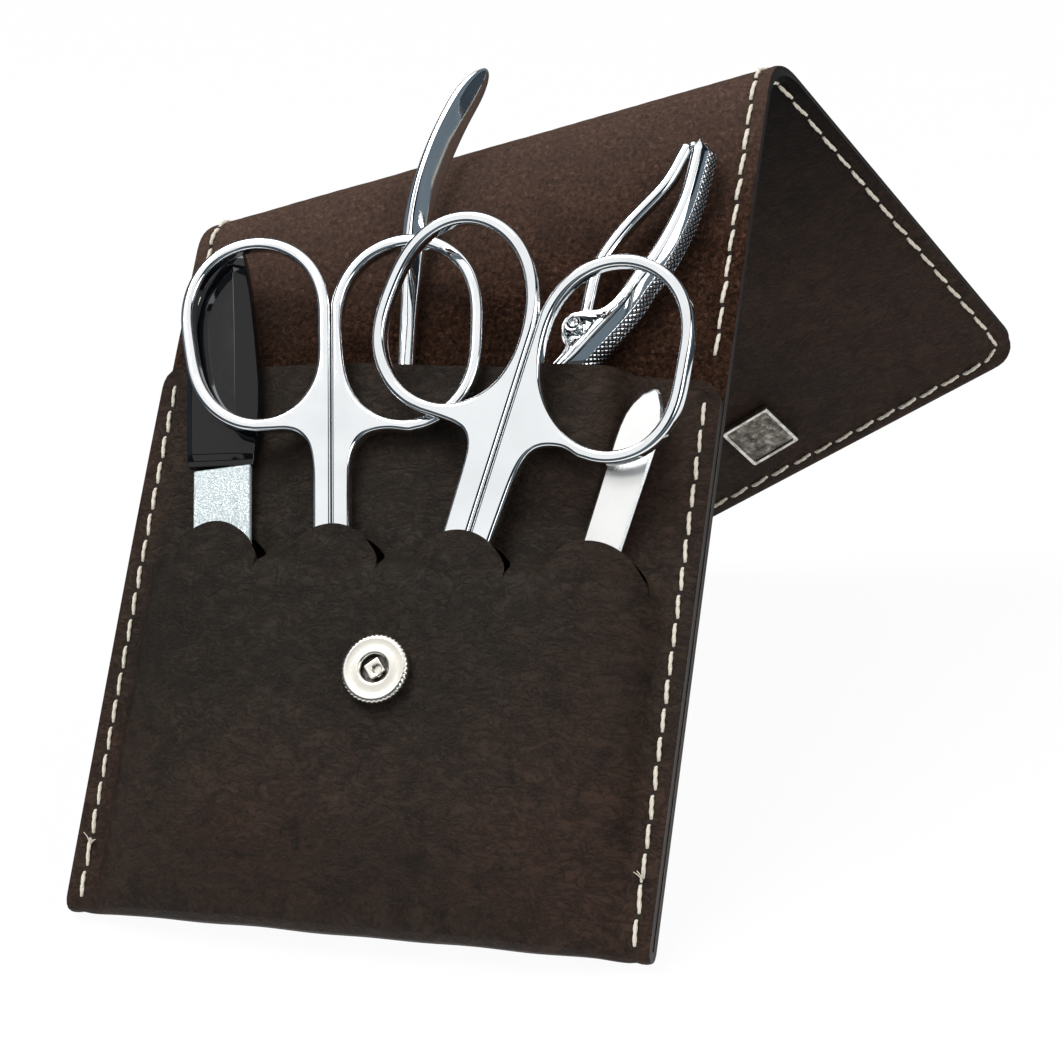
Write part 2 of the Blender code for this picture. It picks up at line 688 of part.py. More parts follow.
def build_flap_cap(flap):
    """Square cap on the grain side of the flap, knob on the suede side."""
    v = STRIP_LENGTH - CAP_FROM_EDGE
    middle = CASE_WIDTH / 2
    seat = bend(middle, v, -LEATHER_THICKNESS)
    _, _, turn = profile(RIDGE_ARC)
    x_axis = Vector((ALONG[0], ALONG[1], 0))
    y_axis = Vector((ACROSS[0] * math.cos(turn), ACROSS[1] * math.cos(turn), -math.sin(turn)))
    z_axis = x_axis.cross(y_axis)
    basis = Matrix((x_axis, y_axis, z_axis)).transposed().to_4x4()
    basis = basis @ Matrix.Rotation(-SLANT, 4, "Z") @ Matrix.Rotation(math.pi, 4, "Y")
    place = Matrix.Translation(seat - flap.location) @ basis
    frame = guide("cap_frame", place, flap)
    half = CAP_SIDE / 2
    square = rounded([(-half, -half), (half, -half), (half, half), (-half, half)], [half / 6] * 4, 3)
    cap = finish(prism(square, GAP, CAP_HEIGHT), "flap_cap", ANTIQUE, frame)
    cap.rotation_euler = (0, 0, CAP_TURN)
    inner = half - CAP_BORDER
    field = rounded([(-inner, -inner), (inner, -inner), (inner, inner), (-inner, inner)], [half / 8] * 4, 2)
    cutter(prism(field, CAP_HEIGHT - CAP_RECESS, CAP_HEIGHT + OVERRUN), "flap_cap_field", cap)
    back = -LEATHER_THICKNESS - GAP
    knob = finish(disc(SOCKET_RADIUS, back - SOCKET_HEIGHT, back, 32), "flap_socket", NICKEL, frame)
    ease_rim(knob, SOCKET_HEIGHT / 4)
    rise = disc(SOCKET_KNOB_RADIUS, back - SOCKET_HEIGHT - SOCKET_KNOB_HEIGHT, back - SOCKET_HEIGHT / 2, 20)
    cutter(rise, "flap_socket_knob", knob, "UNION")
    shank = disc(STUD_SHANK_RADIUS, back - SOCKET_HEIGHT / 2, 0.0, 16)
    cutter(shank, "flap_socket_shank", knob, "UNION")
    return frame


# Scissors

RING_SECTION_COUNT = 8
RING_COUNT = 36


def ring_band(center):
    """Finger ring: a flattened band swept round an ellipse."""
    bm = bmesh.new()
    loops = []
    for i in range(RING_COUNT):
        a = 2 * math.pi * i / RING_COUNT
        path = Vector((RING_HALF_WIDTH - RING_BAND / 2, RING_HALF_HEIGHT - RING_BAND / 2))
        spot = Vector((center[0] + path[0] * math.cos(a), center[1] + path[1] * math.sin(a)))
        out = Vector((math.cos(a) * path[1], math.sin(a) * path[0])).normalized()
        loop = []
        for k in range(RING_SECTION_COUNT):
            b = 2 * math.pi * (k + 0.5) / RING_SECTION_COUNT
            c, s = math.cos(b), math.sin(b)
            grow = 1 / max(abs(c), abs(s)) ** 0.5
            across = RING_BAND / 2 * c * grow * 0.96
            depth = RING_DEPTH / 2 * s * grow * 0.96
            loop.append(bm.verts.new((spot[0] + out[0] * across, spot[1] + out[1] * across, depth)))
        loops.append(loop)
    for i in range(RING_COUNT):
        nxt = loops[(i + 1) % RING_COUNT]
        for k in range(RING_SECTION_COUNT):
            j = (k + 1) % RING_SECTION_COUNT
            bm.faces.new([loops[i][k], nxt[k], nxt[j], loops[i][j]])
    bmesh.ops.recalc_face_normals(bm, faces=bm.faces)
    return bm


def scissor_half(name, frame, shank_half_width, blade_half_width):
    """One half with its ring on the left and its blade behind."""
    center = (-RING_SPREAD, PIVOT_TO_RINGS)
    seam = -SEAM_GAP / 2
    half_depth = SHANK_DEPTH / 2
    lap = LAP_RADIUS + SEAM_GAP
    half = finish(ring_band(center), name, CHROME, frame)
    reach = PIVOT_TO_RINGS - RING_HALF_HEIGHT
    shank_line = [
        (seam, PIVOT_TO_RINGS + RING_HALF_HEIGHT * 0.42),
        (-RING_BAND * 0.8, PIVOT_TO_RINGS + RING_HALF_HEIGHT * 0.45),
        (-RING_BAND * 0.8, PIVOT_TO_RINGS - RING_HALF_HEIGHT * 0.3),
        (-RING_SPREAD * 0.55, reach + RING_BAND * 0.9),
        (-RING_SPREAD * 0.62, reach + RING_BAND * 0.35),
        (-RING_SPREAD * 0.43, reach - RING_BAND * 0.3),
        (-shank_half_width * 1.15, reach - RING_BAND * 1.5),
        (-shank_half_width, reach - RING_BAND * 4),
        (-shank_half_width, LAP_RADIUS * 1.5),
        (-LAP_HALF_WIDTH, LAP_RADIUS * 0.5),
        (-shank_half_width * 0.5, 0.0),
        (seam, 0.0),
    ]
    shank = prism(shank_line, -half_depth, half_depth)
    shank_tool = cutter(shank, name + "_shank", half, "UNION")
    ease_rim(shank_tool, SHANK_DEPTH * 0.12)
    hole = ellipse(center, RING_HALF_WIDTH - RING_BAND * 0.8, RING_HALF_HEIGHT - RING_BAND * 0.8, 36)
    cutter(prism(hole, -SHANK_DEPTH, SHANK_DEPTH), name + "_hole", shank_tool)
    wide = LAP_HALF_WIDTH
    lap_high = -SEAM_GAP / 2
    lap_line = [
        (-wide * 0.9, LAP_RADIUS * 0.72), (wide * 0.55, LAP_RADIUS * 0.8), (wide, LAP_RADIUS * 0.3),
        (wide, -LAP_RADIUS * 0.5), (blade_half_width, -LAP_RADIUS * 1.3),
        (blade_half_width * 0.92, -BLADE_LENGTH * 0.6), (blade_half_width * 0.3, -BLADE_LENGTH),
        (0.0, -BLADE_LENGTH * 1.01), (-blade_half_width * 0.15, -BLADE_LENGTH * 0.97),
        (-blade_half_width * 0.5, -BLADE_LENGTH * 0.55), (-blade_half_width * 0.8, -LAP_RADIUS * 1.2),
        (-wide * 0.8, -LAP_RADIUS * 0.6), (-wide, 0.0),
    ]
    clear = prism(ellipse((0, 0), lap, lap, 32), lap_high, half_depth + OVERRUN)
    cutter(clear, name + "_lap", half)
    blade = prism(lap_line, -half_depth, lap_high)
    cutter(blade, name + "_blade", half, "UNION")
    bore = disc(SCREW_RADIUS + SEAM_GAP, -SHANK_DEPTH, SHANK_DEPTH, 16)
    cutter(bore, name + "_bore", half)
    return half


def build_scissors(prefix, case, place, shank_half_width, blade_half_width):
    frame = guide(prefix + "_frame", place, case)
    scissor_half(prefix + "_left_half", frame, shank_half_width, blade_half_width)
    turned = guide(prefix + "_right_pivot", Matrix.Rotation(math.pi, 4, "Y"), frame)
    scissor_half(prefix + "_right_half", turned, shank_half_width, blade_half_width)
    top = SHANK_DEPTH / 2 + GAP
    head = disc(SCREW_HEAD_RADIUS, top, top + SCREW_HEAD_HEIGHT, 20)
    screw = finish(head, prefix + "_screw", BRUSHED, frame)
    shank = disc(SCREW_RADIUS, -SHANK_DEPTH / 2, top + SCREW_HEAD_HEIGHT / 2, 12)
    cutter(shank, prefix + "_screw_shank", screw, "UNION")
    reach = SCREW_HEAD_RADIUS + OVERRUN
    slot = SCREW_SLOT / 2
    line = [(-reach, -slot), (reach, -slot), (reach, slot), (-reach, slot)]
    cut = prism(line, top + SCREW_HEAD_HEIGHT / 2, top + SCREW_HEAD_HEIGHT + OVERRUN)
    cutter(cut, prefix + "_screw_slot", screw)
    return frame


# Slim tools

def build_file(case, place):
    """Nail file: faceted teardrop handle above a flat gritted blade."""
    frame = guide("file_frame", place, case)
    half = FILE_HANDLE_WIDTH / 2
    height = FILE_HANDLE_LENGTH
    right_shares = [(0.0, 0.97), (0.14, 1.06), (0.35, 1.1), (0.56, 1.01), (0.8, 0.86), (0.96, 0.73)]
    left_shares = [(0.99, 0.5), (0.92, 0.02), (0.8, -0.56), (0.66, -0.8), (0.5, -0.88), (0.18, -0.9), (0.0, -0.84)]
    line = [(half * w, height * h) for h, w in right_shares + [(1.0, 0.64)] + left_shares]
    handle = finish(prism(line, -FILE_HANDLE_DEPTH / 2, FILE_HANDLE_DEPTH / 2), "file_handle", GLOSS, frame)
    ease_rim(handle, FILE_HANDLE_BEVEL, 1, 50)
    edge = FILE_BLADE_WIDTH / 2
    low = -FILE_BLADE_LENGTH
    line = rounded([(edge, -GAP), (-edge, -GAP), (-edge, low), (edge, low)], [0, 0, edge * 0.9, edge * 0.9], 6)
    blade = finish(prism(line, -FILE_BLADE_DEPTH / 2, FILE_BLADE_DEPTH / 2), "file_blade", GRIT, frame)
    ease_rim(blade, FILE_BLADE_DEPTH / 6)
    return frame


def build_cleaner(case, place):
    """Nail cleaner: flat steel strip with a curved point at the top."""
    frame = guide("cleaner_frame", place, case)
    half = CLEANER_WIDTH / 2
    point_shares = [(1.0, 0.0), (0.98, 0.25), (0.9, 0.5), (0.72, 0.72), (0.42, 0.92), (0.15, 1.0)]
    right = [(half * x, CLEANER_POINT * y) for x, y in point_shares]
    left = [(-half * x, CLEANER_POINT * y * 0.9) for x, y in reversed(point_shares)]
    low = CLEANER_POINT - CLEANER_LENGTH
    foot = rounded([(-half, 0.0), (-half * 0.8, low), (half * 0.8, low), (half, 0.0)], [0, half * 0.6, half * 0.6, 0], 4)
    line = right + left + foot[1:-1]
    tool = finish(prism(line, -CLEANER_DEPTH / 2, CLEANER_DEPTH / 2), "nail_cleaner", BRUSHED, frame)
    ease_rim(tool, CLEANER_BEVEL)
    return frame


def build_pusher(case, place):
    """Cuticle pusher: round stem that flattens into a bowed leaf blade."""
    frame = guide("pusher_frame", place, case)
    start_share = 1 - PUSHER_BLADE_REACH / PUSHER_LENGTH
    bm = bmesh.new()
    loops = []
    for i in range(PUSHER_STATION_COUNT + 1):
        share = i / PUSHER_STATION_COUNT
        along = (share - start_share) / (1 - start_share)
        leaf = smooth(0.0, 0.55, along)
        close = math.sqrt(max(0.0, 1 - max(0.0, (along - 0.72) / 0.28) ** 2)) if along > 0.72 else 1.0
        foot = math.sqrt(max(0.0, 1 - max(0.0, (0.04 - share) / 0.04) ** 2))
        width = PUSHER_STEM_WIDTH + (PUSHER_BLADE_WIDTH - PUSHER_STEM_WIDTH) * leaf
        depth = PUSHER_STEM_DEPTH + (PUSHER_BLADE_DEPTH - PUSHER_STEM_DEPTH) * leaf
        width *= max(close * foot, 0.12)
        depth *= max(foot, 0.12)
        bowed = max(0.0, share - PUSHER_BOW_SHARE) / (1 - PUSHER_BOW_SHARE)
        off = PUSHER_BOW * bowed ** 2.6
        front = PUSHER_FORWARD * smooth(0.0, 0.5, bowed)
        turn = PUSHER_TURN * smooth(0.0, 0.5, along)
        c, s = math.cos(turn), math.sin(turn)
        y = PUSHER_LENGTH * share
        loop = []
        for k in range(PUSHER_SECTION_COUNT):
            b = 2 * math.pi * k / PUSHER_SECTION_COUNT
            x, z = width / 2 * math.cos(b), depth / 2 * math.sin(b)
            loop.append(bm.verts.new((off + x * c - z * s, y, front + x * s + z * c)))
        loops.append(loop)
    for low, high in zip(loops, loops[1:]):
        for k in range(PUSHER_SECTION_COUNT):
            j = (k + 1) % PUSHER_SECTION_COUNT
            bm.faces.new([low[k], high[k], high[j], low[j]])
    bm.faces.new(loops[0])
    bm.faces.new(loops[-1][::-1])
    finish(bm, "cuticle_pusher", CHROME, frame)
    return frame


# Nippers

def curve_point(knots, share):
    """Point on a smooth line through the knots."""
    scaled = share * (len(knots) - 1)
    i = min(int(scaled), len(knots) - 2)
    t = scaled - i
    p = [np.array(knots[min(max(k, 0), len(knots) - 1)]) for k in (i - 1, i, i + 1, i + 2)]
    a = 2 * p[1] + (p[2] - p[0]) * t
    b = (2 * p[0] - 5 * p[1] + 4 * p[2] - p[3]) * t * t
    c = (3 * p[1] - p[0] - 3 * p[2] + p[3]) * t ** 3
    return (a + b + c) / 2


def band(knots, widths, steps, ridges=0, ridge_depth=0.0):
    """Outline of a bar that follows the knots; ridges cross its right edge."""
    left = []
    right = []
    count = steps if not ridges else ridges * 2 * max(1, round(steps / (ridges * 2)))
    for i in range(count + 1):
        share = i / count
        spot = curve_point(knots, share)
        ahead = curve_point(knots, min(share + 0.01, 1.0)) - curve_point(knots, max(share - 0.01, 0.0))
        ahead /= np.linalg.norm(ahead)
        out = np.array([ahead[1], -ahead[0]])
        width = float(np.interp(share, [s for s, _ in widths], [w for _, w in widths]))
        grip = ridge_depth if ridges and i % 2 and 0.12 < share < 0.96 else 0.0
        right.append(tuple(spot + out * (width / 2 - grip)))
        left.append(tuple(spot - out * width / 2))
    return right + left[::-1]


GRIP_SHARES = [(0.06, 0.0), (0.2, 0.035), (0.347, 0.1), (0.493, 0.188), (0.633, 0.282), (0.773, 0.4), (0.88, 0.541)]
GRIP_SHARES += [(0.94, 0.676), (0.96, 0.824), (0.947, 0.982)]
BAR_SHARES = [(0.0, 0.0), (0.007, 0.103), (0.013, 0.235), (0.04, 0.341), (0.28, 0.562), (0.54, 0.732), (0.64, 0.824)]
BAR_SHARES += [(0.747, 0.947)]


def jaw_outline(side):
    """One jaw below the lobe; side is 1 for the right jaw, -1 for the left."""
    seam = side * SEAM_GAP / 2
    half = NIPPER_JAW_HALF_WIDTH * side
    low = -NIPPER_JAW_LENGTH
    return [
        (seam, -NIPPER_LOBE_RADIUS * 0.55), (half * 0.78, -NIPPER_LOBE_RADIUS * 0.55),
        (half * 0.78, -NIPPER_LOBE_RADIUS * 1.5), (half, low * 0.5), (half * 0.85, low * 0.72),
        (half * 0.4, low * 0.9), (half * 0.1 + seam, low), (seam, low),
    ]


def nipper_half(name, frame, grip, grip_depth, jaw, lap_low, lap_high, look):
    """Grip, half of the lap joint and the opposite jaw, as one piece."""
    depth = NIPPER_DEPTH / 2
    piece = finish(prism(grip, -grip_depth / 2, grip_depth / 2), name, look, frame)
    clear_low = lap_high if lap_low < 0 else -depth - OVERRUN
    clear_high = depth + OVERRUN if lap_low < 0 else lap_low
    reach = NIPPER_LOBE_RADIUS + SEAM_GAP
    cutter(prism(jaw, -depth, depth), name + "_jaw", piece, "UNION")
    clear = prism(ellipse((0, 0), reach, reach, 32), clear_low, clear_high)
    cutter(clear, name + "_lap", piece)
    cutter(disc(NIPPER_LOBE_RADIUS, lap_low, lap_high, 32), name + "_lobe", piece, "UNION")
    cutter(disc(NIPPER_RIVET_RADIUS + SEAM_GAP, -NIPPER_DEPTH, NIPPER_DEPTH, 16), name + "_bore", piece)
    return piece


def build_nippers(case, place):
    frame = guide("nipper_frame", place, case)
    sweep, rise = NIPPER_GRIP_SWEEP, NIPPER_GRIP_RISE
    depth = NIPPER_DEPTH / 2
    knots = [(x * sweep, y * rise) for x, y in GRIP_SHARES]
    width_shares = [(0.0, 1.4), (0.3, 1.2), (0.55, 1.0), (0.8, 0.85), (1.0, 0.5)]
    widths = [(at, NIPPER_GRIP_BAND * share) for at, share in width_shares]
    outline = band(knots, widths, 44, NIPPER_RIDGES, NIPPER_RIDGE_DEPTH)
    gap = SEAM_GAP / 2
    grip = nipper_half("nipper_grip", frame, outline, NIPPER_DEPTH, jaw_outline(-1), -depth, -gap, BRUSHED)
    hollow_knots = []
    for i in range(7):
        share = 0.3 + 0.6 * i / 6
        spot = curve_point(knots, share)
        ahead = curve_point(knots, share + 0.01) - curve_point(knots, share - 0.01)
        ahead /= np.linalg.norm(ahead)
        shift = NIPPER_WALL + NIPPER_RIDGE_DEPTH + OVERRUN / 2
        hollow_knots.append(tuple(spot - np.array([ahead[1], -ahead[0]]) * shift))
    hollow_widths = [(0.0, NIPPER_GRIP_BAND * 1.2), (0.6, NIPPER_GRIP_BAND), (1.0, NIPPER_GRIP_BAND * 0.7)]
    hollow = prism(band(hollow_knots, hollow_widths, 12), NIPPER_WALL - depth, depth - NIPPER_WALL)
    cutter(hollow, "nipper_grip_hollow", grip)
    nub = bmesh.new()
    bmesh.ops.create_uvsphere(nub, u_segments=10, v_segments=6, radius=NIPPER_CATCH_RADIUS)
    tip = np.array(knots[-1]) - np.array([NIPPER_GRIP_BAND * 0.38, NIPPER_CATCH_RADIUS])
    bmesh.ops.translate(nub, verts=nub.verts, vec=(tip[0], tip[1], 0))
    cutter(nub, "nipper_grip_catch", grip, "UNION")
    bar_knots = [(x * sweep, y * rise) for x, y in BAR_SHARES]
    bar_widths = [(0.0, NIPPER_BAR_BAND * 1.3), (0.3, NIPPER_BAR_BAND), (1.0, NIPPER_BAR_BAND)]
    hinge = guide("nipper_pivot", None, frame)
    bar_line = band(bar_knots, bar_widths, 26)
    nipper_half("nipper_lever", hinge, bar_line, NIPPER_BAR_DEPTH, jaw_outline(1), gap, depth, CHROME)
    rivet_top = depth + GAP
    rivet_head = disc(NIPPER_RIVET_HEAD, rivet_top, rivet_top + NIPPER_RIVET_RISE, 20)
    rivet = finish(rivet_head, "nipper_rivet", BRUSHED, frame)
    cutter(disc(NIPPER_RIVET_RADIUS, -depth, rivet_top + NIPPER_RIVET_RISE / 2, 12), "nipper_rivet_shank", rivet, "UNION")
    return frame


def place_tools(case):
    file_place = local_frame(FILE_U, FILE_V, FILE_W, FILE_LEAN, 0.0)
    build_file(case, file_place)
    nail_place = local_frame(NAIL_U, NAIL_V, NAIL_W, NAIL_LEAN, NAIL_TILT, NAIL_ROLL)
    build_scissors("nail_scissors", case, nail_place, NAIL_SHANK_HALF_WIDTH, NAIL_BLADE_HALF_WIDTH)
    cuticle_place = local_frame(CUTICLE_U, CUTICLE_V, CUTICLE_W, CUTICLE_LEAN, CUTICLE_TILT)
    halves = (CUTICLE_SHANK_HALF_WIDTH, CUTICLE_BLADE_HALF_WIDTH)
    build_scissors("cuticle_scissors", case, cuticle_place, *halves)
    build_cleaner(case, local_frame(CLEANER_U, CLEANER_V, CLEANER_W, CLEANER_LEAN, CLEANER_TILT))
    build_pusher(case, local_frame(PUSHER_U, PUSHER_V, PUSHER_W, PUSHER_LEAN, PUSHER_TILT))
    build_nippers(case, local_frame(NIPPER_U, NIPPER_V, NIPPER_W, NIPPER_LEAN, NIPPER_TILT))


# Where each tool stands: reference point, lean in the pocket's plane, tilt
FILE_FROM_TAB = -3.3 * MM
FILE_U = tab_center(0) + FILE_FROM_TAB
FILE_V = 70.8 * MM
FILE_W = 4.4 * MM
FILE_LEAN = math.radians(-10.0)
NAIL_FROM_TAB = -0.55 * MM
NAIL_U = tab_center(1) + NAIL_FROM_TAB
NAIL_V = 48.0 * MM
NAIL_W = 6.75 * MM
NAIL_LEAN = math.radians(-9.5)
NAIL_TILT = math.radians(0.8)
NAIL_ROLL = math.radians(1.0)
CUTICLE_FROM_TAB = -3.2 * MM
CUTICLE_U = tab_center(2) + CUTICLE_FROM_TAB
CUTICLE_V = 47.3 * MM
CUTICLE_W = 5.8 * MM
CUTICLE_LEAN = math.radians(12.5)
CUTICLE_TILT = math.radians(7.6)
CLEANER_FROM_TAB = 3.65 * MM
CLEANER_U = tab_center(3) + CLEANER_FROM_TAB
CLEANER_V = 76.5 * MM
CLEANER_W = 6.5 * MM
CLEANER_LEAN = math.radians(12.0)
CLEANER_TILT = math.radians(5.0)
PUSHER_FROM_NAIL = 8.1 * MM
PUSHER_U = NAIL_U + PUSHER_FROM_NAIL
PUSHER_V = 47.5 * MM
PUSHER_W = 1.6 * MM
PUSHER_LEAN = math.radians(-6.0)
PUSHER_TILT = math.radians(-0.5)
NIPPER_FROM_CLEANER = -12.0 * MM
NIPPER_U = CLEANER_U + NIPPER_FROM_CLEANER
NIPPER_V = 95.0 * MM
NIPPER_W = 2.65 * MM
NIPPER_LEAN = math.radians(3.0)
NIPPER_TILT = 0.0


def lowest(obj, lean):
    """Height of an object's lowest point once the case frame leans back."""
    up = Vector((0, math.sin(lean), math.cos(lean)))
    shift = obj.location.dot(up)
    return min(vert.co.dot(up) for vert in obj.data.vertices) + shift


def middle_of_all():
    """Middle of the whole object's box, in x and y."""
    shown = [obj for obj in bpy.data.objects if obj.type == "MESH" and not obj.hide_render]
    spots = [obj.matrix_world @ vert.co for obj in shown for vert in obj.data.vertices]
    return [(min(p[k] for p in spots) + max(p[k] for p in spots)) / 2 for k in range(2)]


def build():
    clear_scene()
    case = guide("case_frame")
    leather = build_case_leather(case)
    build_ridge_leather(case)
    axis_point, _ = ridge_axis()
    flap = build_flap_leather(case)
    flap.location = axis_point
    flap.data.transform(Matrix.Translation(-axis_point))
    build_stud(case)
    build_flap_cap(flap)
    place_tools(case)
    low, high = math.radians(20), math.radians(80)
    for _ in range(50):
        lean = (low + high) / 2
        if lowest(flap, lean) < lowest(leather, lean):
            low = lean
        else:
            high = lean
    case.rotation_euler = (lean, 0, 0)
    case.location = (0, 0, -lowest(leather, lean))
    bpy.context.view_layer.update()
    x, y = middle_of_all()
    case.location = (-x, -y, -lowest(leather, lean))
    bpy.context.view_layer.update()
    return case


build()
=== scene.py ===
"""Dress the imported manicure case: leather, thread, steel, light and camera."""
import json
import math

import bmesh
import bpy
import numpy as np
from mathutils import Matrix, Quaternion, Vector, geometry

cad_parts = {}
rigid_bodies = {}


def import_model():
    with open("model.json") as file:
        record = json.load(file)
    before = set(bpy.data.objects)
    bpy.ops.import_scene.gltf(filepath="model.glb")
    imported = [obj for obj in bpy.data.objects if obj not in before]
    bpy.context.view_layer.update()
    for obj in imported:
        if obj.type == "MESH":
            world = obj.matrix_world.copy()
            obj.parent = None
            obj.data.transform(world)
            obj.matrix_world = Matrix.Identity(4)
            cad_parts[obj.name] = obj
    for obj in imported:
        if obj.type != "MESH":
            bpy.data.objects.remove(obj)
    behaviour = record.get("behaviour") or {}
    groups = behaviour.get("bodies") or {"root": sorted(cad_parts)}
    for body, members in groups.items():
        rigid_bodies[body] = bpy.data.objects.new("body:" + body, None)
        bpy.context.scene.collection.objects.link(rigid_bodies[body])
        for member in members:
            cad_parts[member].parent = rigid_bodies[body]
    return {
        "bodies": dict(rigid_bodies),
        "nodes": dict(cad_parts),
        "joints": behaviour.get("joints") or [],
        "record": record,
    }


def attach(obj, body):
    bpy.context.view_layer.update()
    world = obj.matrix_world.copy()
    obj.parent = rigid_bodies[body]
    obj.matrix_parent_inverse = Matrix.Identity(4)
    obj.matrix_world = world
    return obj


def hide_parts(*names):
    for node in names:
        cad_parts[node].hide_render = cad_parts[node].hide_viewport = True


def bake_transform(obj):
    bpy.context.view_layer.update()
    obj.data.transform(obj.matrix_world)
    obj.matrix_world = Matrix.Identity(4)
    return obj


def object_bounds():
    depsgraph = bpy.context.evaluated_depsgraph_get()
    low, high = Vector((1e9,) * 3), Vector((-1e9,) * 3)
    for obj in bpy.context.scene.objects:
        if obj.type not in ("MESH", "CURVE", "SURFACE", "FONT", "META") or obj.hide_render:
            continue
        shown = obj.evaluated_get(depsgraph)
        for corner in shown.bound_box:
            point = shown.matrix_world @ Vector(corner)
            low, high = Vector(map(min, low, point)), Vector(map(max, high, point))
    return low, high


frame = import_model()
cad_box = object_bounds()

# Everything below is in millimetres, in the case frame: u across the strip,
# v up the pocket, w out of the pocket front. to_world() turns that into metres.
MM = 0.001
LEAN = math.radians(47.490059)
SHIFT = Vector((-0.060966, -0.066479, 0.000459))
CASE_TURN = Matrix.Rotation(LEAN, 3, "X")

CASE_WIDTH = 92.0
POCKET_HEIGHT = 88.5
RIDGE_LEFT_HEIGHT = 110.0
RIDGE_RISE = 29.2
STRIP_LENGTH = 223.0
LEATHER = 2.0
HALF = LEATHER / 2
SEAM_MARGIN = 4.6
MOUTH_CORNER_RADIUS = 4.0
FLAP_CORNER_RADIUS = 6.0
RIDGE_RADIUS = 6.0
RIDGE_TURN = math.radians(112.0)
RIDGE_ARC = RIDGE_RADIUS * RIDGE_TURN
BACK_SAG_LENGTH = 63.0
BACK_SAG_TURN = math.radians(3.0)
SEAM_STANDOFF = 0.3
UPPER_STANDOFF = 2.9
NIPPER_SWELL_HALF = 5.4
NIPPER_SWELL_FALL = 4.0
NIPPER_SWELL_RISE = 10.0
NIPPER_SWELL_STANDOFF = 5.35
FOLD_STANDOFF = 3.0
BULGE_STANDOFF = 9.7
BULGE_RISE_HEIGHT = 24.0
UPPER_LEFT_START = 15.0
UPPER_LEFT_RUN = 19.0
UPPER_RIGHT_RUN = 24.0
LIFT_TOP = 64.4
LIFT_RUN = 13.0
SLIT_KERF = 0.4
SLIT_REACH = 5.0
TAB_RADIUS = 7.5
TAB_BASE_HEIGHT = 52.8
TAB_PITCH = 19.95
TAB_FIRST = 17.5
TAB_COUNT = 4
STUD_U = 47.9
STUD_V = 37.8
STUD_RISE = 0.03
NIPPER_U = 69.0
NIPPER_JAW_TIP_V = 74.0

SLANT = math.atan2(RIDGE_RISE, CASE_WIDTH)
ALONG = np.array([math.cos(SLANT), math.sin(SLANT)])
ACROSS = np.array([-math.sin(SLANT), math.cos(SLANT)])
FOLD_LINE = (FOLD_STANDOFF + LEATHER) / 2 + HALF
FOLD_RUN = math.pi * (FOLD_STANDOFF + LEATHER) / 2
FRONT_RUN = POCKET_HEIGHT - FOLD_LINE
RIDGE_SIDE_RUN = FRONT_RUN + FOLD_RUN + RIDGE_LEFT_HEIGHT - FOLD_LINE
FLAP_EDGE_RUN = FRONT_RUN + FOLD_RUN + STRIP_LENGTH - FOLD_LINE


def smooth(low, run, value):
    share = np.clip((np.asarray(value, float) - low) / run, 0.0, 1.0)
    return share * share * (3 - 2 * share)


def to_world(points):
    """Case-frame millimetres to row-frame metres."""
    turn = np.array(CASE_TURN)
    return np.asarray(points, float) * MM @ turn.T + np.array(SHIFT)


# Materials

def new_material(name):
    mat = bpy.data.materials.new(name)
    mat.use_nodes = True
    return mat, mat.node_tree, mat.node_tree.nodes["Principled BSDF"]


def add(tree, kind, **values):
    node = tree.nodes.new(kind)
    for key, value in values.items():
        setattr(node, key, value)
    return node


def noise(tree, vector, scale, detail=4.0, rough=0.55, distort=0.0):
    node = add(tree, "ShaderNodeTexNoise")
    node.inputs["Scale"].default_value = scale
    node.inputs["Detail"].default_value = detail
    node.inputs["Roughness"].default_value = rough
    node.inputs["Distortion"].default_value = distort
    tree.links.new(vector, node.inputs["Vector"])
    return node.outputs["Fac"]


def voronoi(tree, vector, scale, feature="F1", output="Distance"):
    node = add(tree, "ShaderNodeTexVoronoi", feature=feature)
    node.inputs["Scale"].default_value = scale
    tree.links.new(vector, node.inputs["Vector"])
    return node.outputs[output]


def ramp(tree, fac, stops, smoothly=False):
    node = add(tree, "ShaderNodeValToRGB")
    if smoothly:
        node.color_ramp.interpolation = "EASE"
    elements = node.color_ramp.elements
    while len(elements) < len(stops):
        elements.new(0.5)
    for element, (at, color) in zip(elements, stops):
        element.position = at
        element.color = (*color, 1.0)
    tree.links.new(fac, node.inputs["Fac"])
    return node.outputs["Color"]


def grey(tree, fac, low, high, from_low=0.0, from_high=1.0):
    node = add(tree, "ShaderNodeMapRange")
    for key, value in (("From Min", from_low), ("From Max", from_high), ("To Min", low), ("To Max", high)):
        node.inputs[key].default_value = value
    tree.links.new(fac, node.inputs["Value"])
    return node.outputs["Result"]


def mix(tree, fac, a, b, blend="MIX"):
    node = add(tree, "ShaderNodeMix", data_type="RGBA", blend_type=blend)
    for socket, value in ((node.inputs["Factor"], fac), (node.inputs[6], a), (node.inputs[7], b)):
        if isinstance(value, (int, float)):
            socket.default_value = value
        elif isinstance(value, tuple):
            socket.default_value = (*value, 1.0)
        else:
            tree.links.new(value, socket)
    return node.outputs[2]


def math_node(tree, operation, a, b=None):
    node = add(tree, "ShaderNodeMath", operation=operation)
    for socket, value in zip(node.inputs, (a, b)):
        if value is None:
            continue
        if isinstance(value, (int, float)):
            socket.default_value = value
        else:
            tree.links.new(value, socket)
    return node.outputs["Value"]


